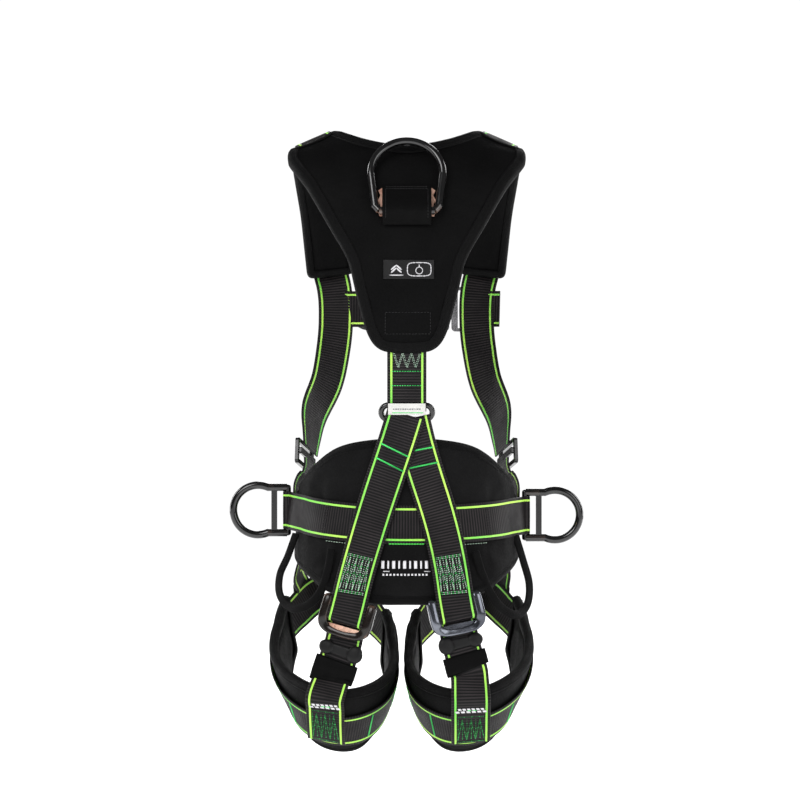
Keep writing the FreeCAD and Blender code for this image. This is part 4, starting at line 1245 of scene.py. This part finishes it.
def build_chest_straps():
    route = [at_front(x, 258, height)
             for x, height in ((-98, 5.2), (-80, 5.0), (-63, FRONT_H), (-45, FRONT_H))]
    lead, turn = end_on_buckle(lay(route, 9), "chest", "left")
    two_part_strap("chest_strap_", "left", lead, turn, "chest")
    bar, out = sternal_bar()
    side = level_with(RIGHT, out)
    r = 3.0 + 0.4 + WEB_T / 2
    feet = [(bar + side * k - out * 3.7, out) for k in (-15, -7, 7, 15)]
    arch = feet[:2] + fold(bar, out, side, r, -65, 65, steps=7) + feet[2:]
    _, strip = webbing("sternal_tunnel", arch, 38, own_node=False)
    sewing = Sewing("tunnel_stitching", THREAD_GREEN)
    for s in (4, strip.length - 4):
        sewing.tack(strip, (s, -15), (s, 15))
    sewing.finish()
    path = lay([at_front(x, 258, 5.2) for x in (114, 107, 100)], 4)
    lead, turn = end_on_buckle(path, "chest", "right")
    two_part_strap("chest_strap_", "right", lead, turn, "chest")


# -------- flanks and gear loops
FLANK_TURN = 106.0
FLANK_Z = 76.0
GEAR_LOOP = {"left": [(-131, -36, -14), (-140, -44, -40), (-149, -54, -62), (-148, -67, -84),
                      (-134, -80, -98), (-114, -92, -93), (-99, -99, -76), (-91, -101, -52),
                      (-87, -99, -28)],
             "right": [(129, -38, -16), (137, -46, -44), (144, -54, -72), (141, -66, -95),
                       (128, -80, -106), (110, -92, -97), (96, -100, -78), (86, -103, -54),
                       (79, -103, -30)]}


def build_flanks():
    for side, s in SIGN.items():
        route = [at_side(s * (FLANK_TURN - back), FLANK_Z - drop, h)
                 for back, drop, h in ((1, 6, 2.4), (2, 15, 2.8), (3, 26, 7.5), (7, 42, 15.8), (10, 62, 15.8),
                                       (12, 84, 15.8))]
        webbing("flank_strap_" + side, lay(route, 14))


def build_gear_loops():
    tape = [squircle(2 * math.pi * k / 16, 0.8, 0.6) for k in range(16)]
    columns = [(-5.5 * c, 1.5 * s + 1e-6, 0.03) for c, s in tape]
    for side in SIGN:
        strip = Strip([(V((x, y, z)), V((x * 0.35, y - 40, 0)).normalized())
                       for x, y, z in smooth(GEAR_LOOP[side], 40)], 1.4)
        band("gear_loop_tape_" + side, strip, columns, GEAR, "gear_tape", ("gear_loop_" + side,),
             lambda s, full=strip.length: 0.84 + 0.08 * math.sin(math.pi * s / full))


# -------- leg loops
THIGH = (60.0, 93.0)
THIGH_Y = -14.0
LEG_PAD = 11.0
LEG_WEB_H = 12.3
LEG_PAD_TURN = 118             # how far the pad and the webbing go to each side, in degrees
LEG_WEB_TURN = 163


LEG_Z = -163                   # the loop's height: its middle, and how much it drops, tilts and waves
LEG_DROP = 68.5
LEG_TILT = 9
LEG_WAVE = 6
LEAN_SIDE, LEAN_SWING, LEAN_BACK = 6, 4, 30        # how far the pad leans out, in degrees
LEAN_MOST, CURL_MOST = 38, 22


def leg_height(turn):
    a = math.radians(turn)
    return LEG_Z - LEG_DROP * math.cos(a) + LEG_TILT * math.sin(a) + LEG_WAVE * math.cos(2 * a)


def leg_pad_width(turn):
    return 60 + 14 * (1 + math.cos(math.radians(turn)))


def leg_point(side, turn, across, height):
    """turn: 0 at the back, 90 outside, 180 in front. across: -1 on the lower edge to 1 on the upper edge."""
    s = SIGN[side]
    a = math.radians(turn)
    middle = V((LEG_X[side] + s * THIGH[0] * math.sin(a), THIGH_Y - THIGH[1] * math.cos(a), leg_height(turn)))
    level = V((s * math.sin(a) / THIGH[0], -math.cos(a) / THIGH[1], 0)).normalized()
    back = max(math.cos(a), 0)
    lean = LEAN_SIDE + LEAN_SWING * math.sin(a) + LEAN_BACK * back**0.7
    lean_way = V((level.x * (1 - 0.75 * back), level.y, 0)).normalized()
    half = leg_pad_width(turn) / 2
    curl = CURL_MOST * lean / LEAN_MOST
    steps = 8
    p = middle
    for k in range(steps):
        tilt = math.radians(lean - curl * across * (k + 0.5) / steps)
        p = p + (V((0, 0, math.cos(tilt))) + lean_way * math.sin(tilt)) * (half * across / steps)
    tilt = math.radians(lean - curl * across)
    rise = LEG_DROP * math.sin(a) + LEG_TILT * math.cos(a) - 2 * LEG_WAVE * math.sin(2 * a)
    tangent = V((s * THIGH[0] * math.cos(a), THIGH[1] * math.sin(a), rise))
    n = tangent.cross(V((0, 0, math.cos(tilt))) + lean_way * math.sin(tilt)).normalized() * s
    return p + n * height, n


def build_leg_loops():
    for side in SIGN:

        def surface(u, v):
            return leg_point(side, (2 * u - 1) * LEG_PAD_TURN, 2 * v - 1, 0)

        pad("leg_pad_soft_" + side, surface, 110, 22, (0.4, LEG_PAD - 0.8), [BELT_FABRIC, SPACER],
            7.0, 0.3, cloth=(5.0, 3.5, 1.5), stands_for=("leg_pad_" + side,))
        bind_edge("leg_binding_" + side, surface, 0.4, LEG_PAD - 1.0, 8.0, turned=int(SIGN[side]))
        path = []
        for k in range(45):
            turn = LEG_WEB_TURN * (k / 22 - 1)
            rise = min(max((abs(turn) - 120) / 16, 0), 1)
            path.append(leg_point(side, turn, -0.08, LEG_WEB_H + (FRONT_H - LEG_WEB_H) * rise))
        _, strap = webbing("leg_webbing_" + side, path)
        sewing = Sewing("leg_stitching_" + side, THREAD_GREEN)
        for turn in (-62, -26, 34, 72, 108, -108):
            s = strap.length * (turn / LEG_WEB_TURN + 1) / 2
            sewing.tack(strap, (s, -15.5), (s, 15.5), width=2.2)
        sewing.finish()


# the riser's route on the skin (x, z, height), and where on the thigh it ends, in degrees
RISER = {"left": ([(-66, -104, 7.4), (-70, -132, 7.4), (-76, -152, 10), (-81, -170, 15.5)], 5),
         "right": ([(54, -100, 7.4), (59, -130, 7.4), (64, -150, 10), (68, -168, 15.5)], 0)}
# heights of the lobes and of the sleeve, the sleeve's length, heights of the sewn box and of the label
RISER_SPOTS = {"left": (-143, -166, 26, -211, -204), "right": (-134, -155, 19, -217, -209)}


def dome(strip, s, x, points, faces):
    """A round moulded lobe on a strip."""
    size = 20
    rings = [(9.0, -3.2), (9.45, 0.3), (9.36, 2.0), (8.64, 3.5), (7.02, 4.6), (4.32, 5.3), (1.44, 5.5)]
    faces += tube_faces(len(points), len(rings), size)
    for r, lift in rings:
        for k in range(size):
            a = 2 * math.pi * k / size
            points.append(strip.at(s + r * math.sin(a), x + r * math.cos(a), lift)[0])


def sleeve(strip, s, length, width, thick, points, faces):
    """A closed band round the webbing, a little plumper in its middle."""
    ring = [squircle(2 * math.pi * (k + 0.5) / 28, 0.25, 0.35) for k in range(28)]
    steps = 9
    faces += tube_faces(len(points), steps + 1, len(ring))
    for i in range(steps + 1):
        f = i / steps
        plump = 1 - 0.16 * abs(2 * f - 1)**6
        for c, h in ring:
            points.append(strip.at(s + (f - 0.5) * length, width / 2 * c * (0.97 + 0.03 * plump),
                                   thick / 2 * h * plump)[0])


def build_risers():
    lobes, bands, elastic = ([], []), ([], []), ([], [])
    for side, s in SIGN.items():
        skin, turn = RISER[side]
        lobes_z, sleeve_z, sleeve_length, box_z, label_z = RISER_SPOTS[side]
        path = lay([at_back(x, z, h) for x, z, h in skin], 9)
        path += [leg_point(side, turn, across, height)
                 for across, height in ((0.9, 16.4), (0.6, 16.0), (0.2, 15.6), (-0.1, 15.4), (-0.4, 15.4))]
        _, strap = webbing("leg_riser_" + side, path)
        at_lobes = strap.level(lobes_z)
        for x in (-17, 17):
            dome(strap, at_lobes, x, *lobes)
        sleeve(strap, at_lobes, 11, 40, 7.0, *bands)
        sleeve(strap, strap.level(sleeve_z), sleeve_length, 51, 6.2, *elastic)
        sewing = Sewing("riser_stitching_" + side, THREAD_DEEP, THREAD_GREEN)
        sewing.box(strap, strap.level(box_z), strap.length - 3, 6, (0, 0, 0, 1), 1, (0, 0, 1))
        sewing.finish()
        label = strap.level(label_z)
        marks = [(label - 1.6, -13 + 5.2 * k, 2.6, 3.6, 0.4) for k in range(6)]
        marks += [(label + 2.0, -15.5 + 6.2 * k, 2.4, 4.4, 0.4) for k in range(6)]
        bar_print("riser_label_" + side, strap, marks, 1.2, PRINT)
        marks = [(label + 0.2, -2 + 6 * k, 1.3, 4.0, 0.3) for k in range(2)]
        bar_print("riser_label_green_" + side, strap, marks, 1.25, THREAD_GREEN)
        low_part = [leg_point(side, 140, across, 5.3) for across in (-0.4, 0.0, 0.4, 0.7)]
        foot = low_part[-1][0]
        route = [at_front(foot.x - s * 3, -66, 6.0), at_front(foot.x - s * 12, -30, 5.3),
                 at_front(s * 94, 3, 5.4), at_front(s * 93, 24, 5.4)]
        webbing("front_riser_" + side, low_part + lay(route, 9), 30)
    piece("keeper_lobes", *lobes, [KEEPER], None, None, "harness", "moulded_keeper", ("web_keepers",))
    piece("keeper_bands", *bands, [KEEPER], None, None, "harness", "moulded_keeper")
    piece("elastic_sleeves", *elastic, [ELASTIC], None, None, "harness", "moulded_keeper")


# -------- hard parts from the frame
def finish_hard_parts():
    """Every CAD part that stays gets the finish of its material slot, and softened edges."""
    for name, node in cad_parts.items():
        if node.hide_render:
            continue
        for slot in node.material_slots:
            old = slot.material.name.split(".")[0] if slot.material else ""
            slot.material = OWN_FINISH.get(name) or FINISH.get(old, slot.material)
        node.data.polygons.foreach_set("use_smooth", [True] * len(node.data.polygons))
        soften = node.modifiers.new("soft_edges", "BEVEL")
        soften.width = 0.35 * MM
        soften.segments = 2
        soften.limit_method = "ANGLE"
        soften.angle_limit = math.radians(40)
        soften.harden_normals = True


# -------- the studio
# name, place, width, height, power
LAMPS = [("key", (-1.3, -2.2, 1.7), 1.4, 1.4, 34), ("fill", (1.7, -1.9, 0.9), 1.2, 1.6, 16),
         ("rim_left", (-1.9, 0.9, 0.7), 0.5, 1.8, 26), ("rim_right", (1.9, 0.9, 0.7), 0.5, 1.8, 26),
         ("front", (0.4, 2.4, 1.3), 1.6, 1.6, 30)]
FLOOR_GAP = 0.09               # metres between the harness and the floor
FLOOR_HALF = 30.0
EYE = (-0.0078, -2.6, 0.144)
VIEW_ANGLE = 20.92             # degrees across the picture
SENSOR = 36.0


def add(name, data):
    obj = bpy.data.objects.new(name, data)
    bpy.context.scene.collection.objects.link(obj)
    return obj


def build_floor():
    low = cad_box[0].z - FLOOR_GAP
    corners = [(x * FLOOR_HALF, y * FLOOR_HALF, low) for x, y in ((-1, -1), (1, -1), (1, 1), (-1, 1))]
    mesh = bpy.data.meshes.new("floor")
    mesh.from_pydata(corners, [], [(0, 1, 2, 3)])
    m = Shader("pale_floor", 1.0, specular=0.0)
    m.colour(m.ramp(m.noise(0.4), (0.3, (0.985, 0.985, 0.99)), (0.7, (0.995, 0.995, 1.0))))
    mesh.materials.append(m.material)
    add("floor", mesh)


def build_world():
    """A white surround that the glossy blacks reflect only faintly."""
    world = bpy.data.worlds.new("studio")
    world.use_nodes = True
    tree = world.node_tree
    background = tree.nodes["Background"]
    background.inputs["Color"].default_value = (1, 1, 1, 1)
    ray = tree.nodes.new("ShaderNodeLightPath")
    strength = tree.nodes.new("ShaderNodeMapRange")
    strength.inputs["To Min"].default_value = 1.04
    strength.inputs["To Max"].default_value = 0.1
    tree.links.new(ray.outputs["Is Glossy Ray"], strength.inputs["Value"])
    tree.links.new(strength.outputs["Result"], background.inputs["Strength"])
    bpy.context.scene.world = world
    bpy.context.scene.view_settings.view_transform = "Standard"


def build_lamps():
    aim = V((0, 0, 0.1))
    for name, place, wide, tall, power in LAMPS:
        lamp = bpy.data.lights.new(name, "AREA")
        lamp.shape = "RECTANGLE"
        lamp.size, lamp.size_y, lamp.energy = wide, tall, power
        obj = add(name, lamp)
        obj.location = place
        obj.rotation_mode = "QUATERNION"
        obj.rotation_quaternion = (aim - V(place)).to_track_quat("-Z", "Y")


def build_camera():
    camera = bpy.data.cameras.new("camera")
    camera.sensor_width = SENSOR
    camera.lens = SENSOR / 2 / math.tan(math.radians(VIEW_ANGLE / 2))
    eye = add("camera", camera)
    eye.location = EYE
    eye.rotation_euler = (math.radians(90), 0, 0)
    bpy.context.scene.camera = eye


build_yoke()
build_shoulders()
build_dorsal()
build_centre()
build_diagonals()
build_belt()
build_belt_front()
build_chest_straps()
build_flanks()
build_gear_loops()
build_leg_loops()
build_risers()
finish_hard_parts()
build_floor()
build_world()
build_lamps()
build_camera()
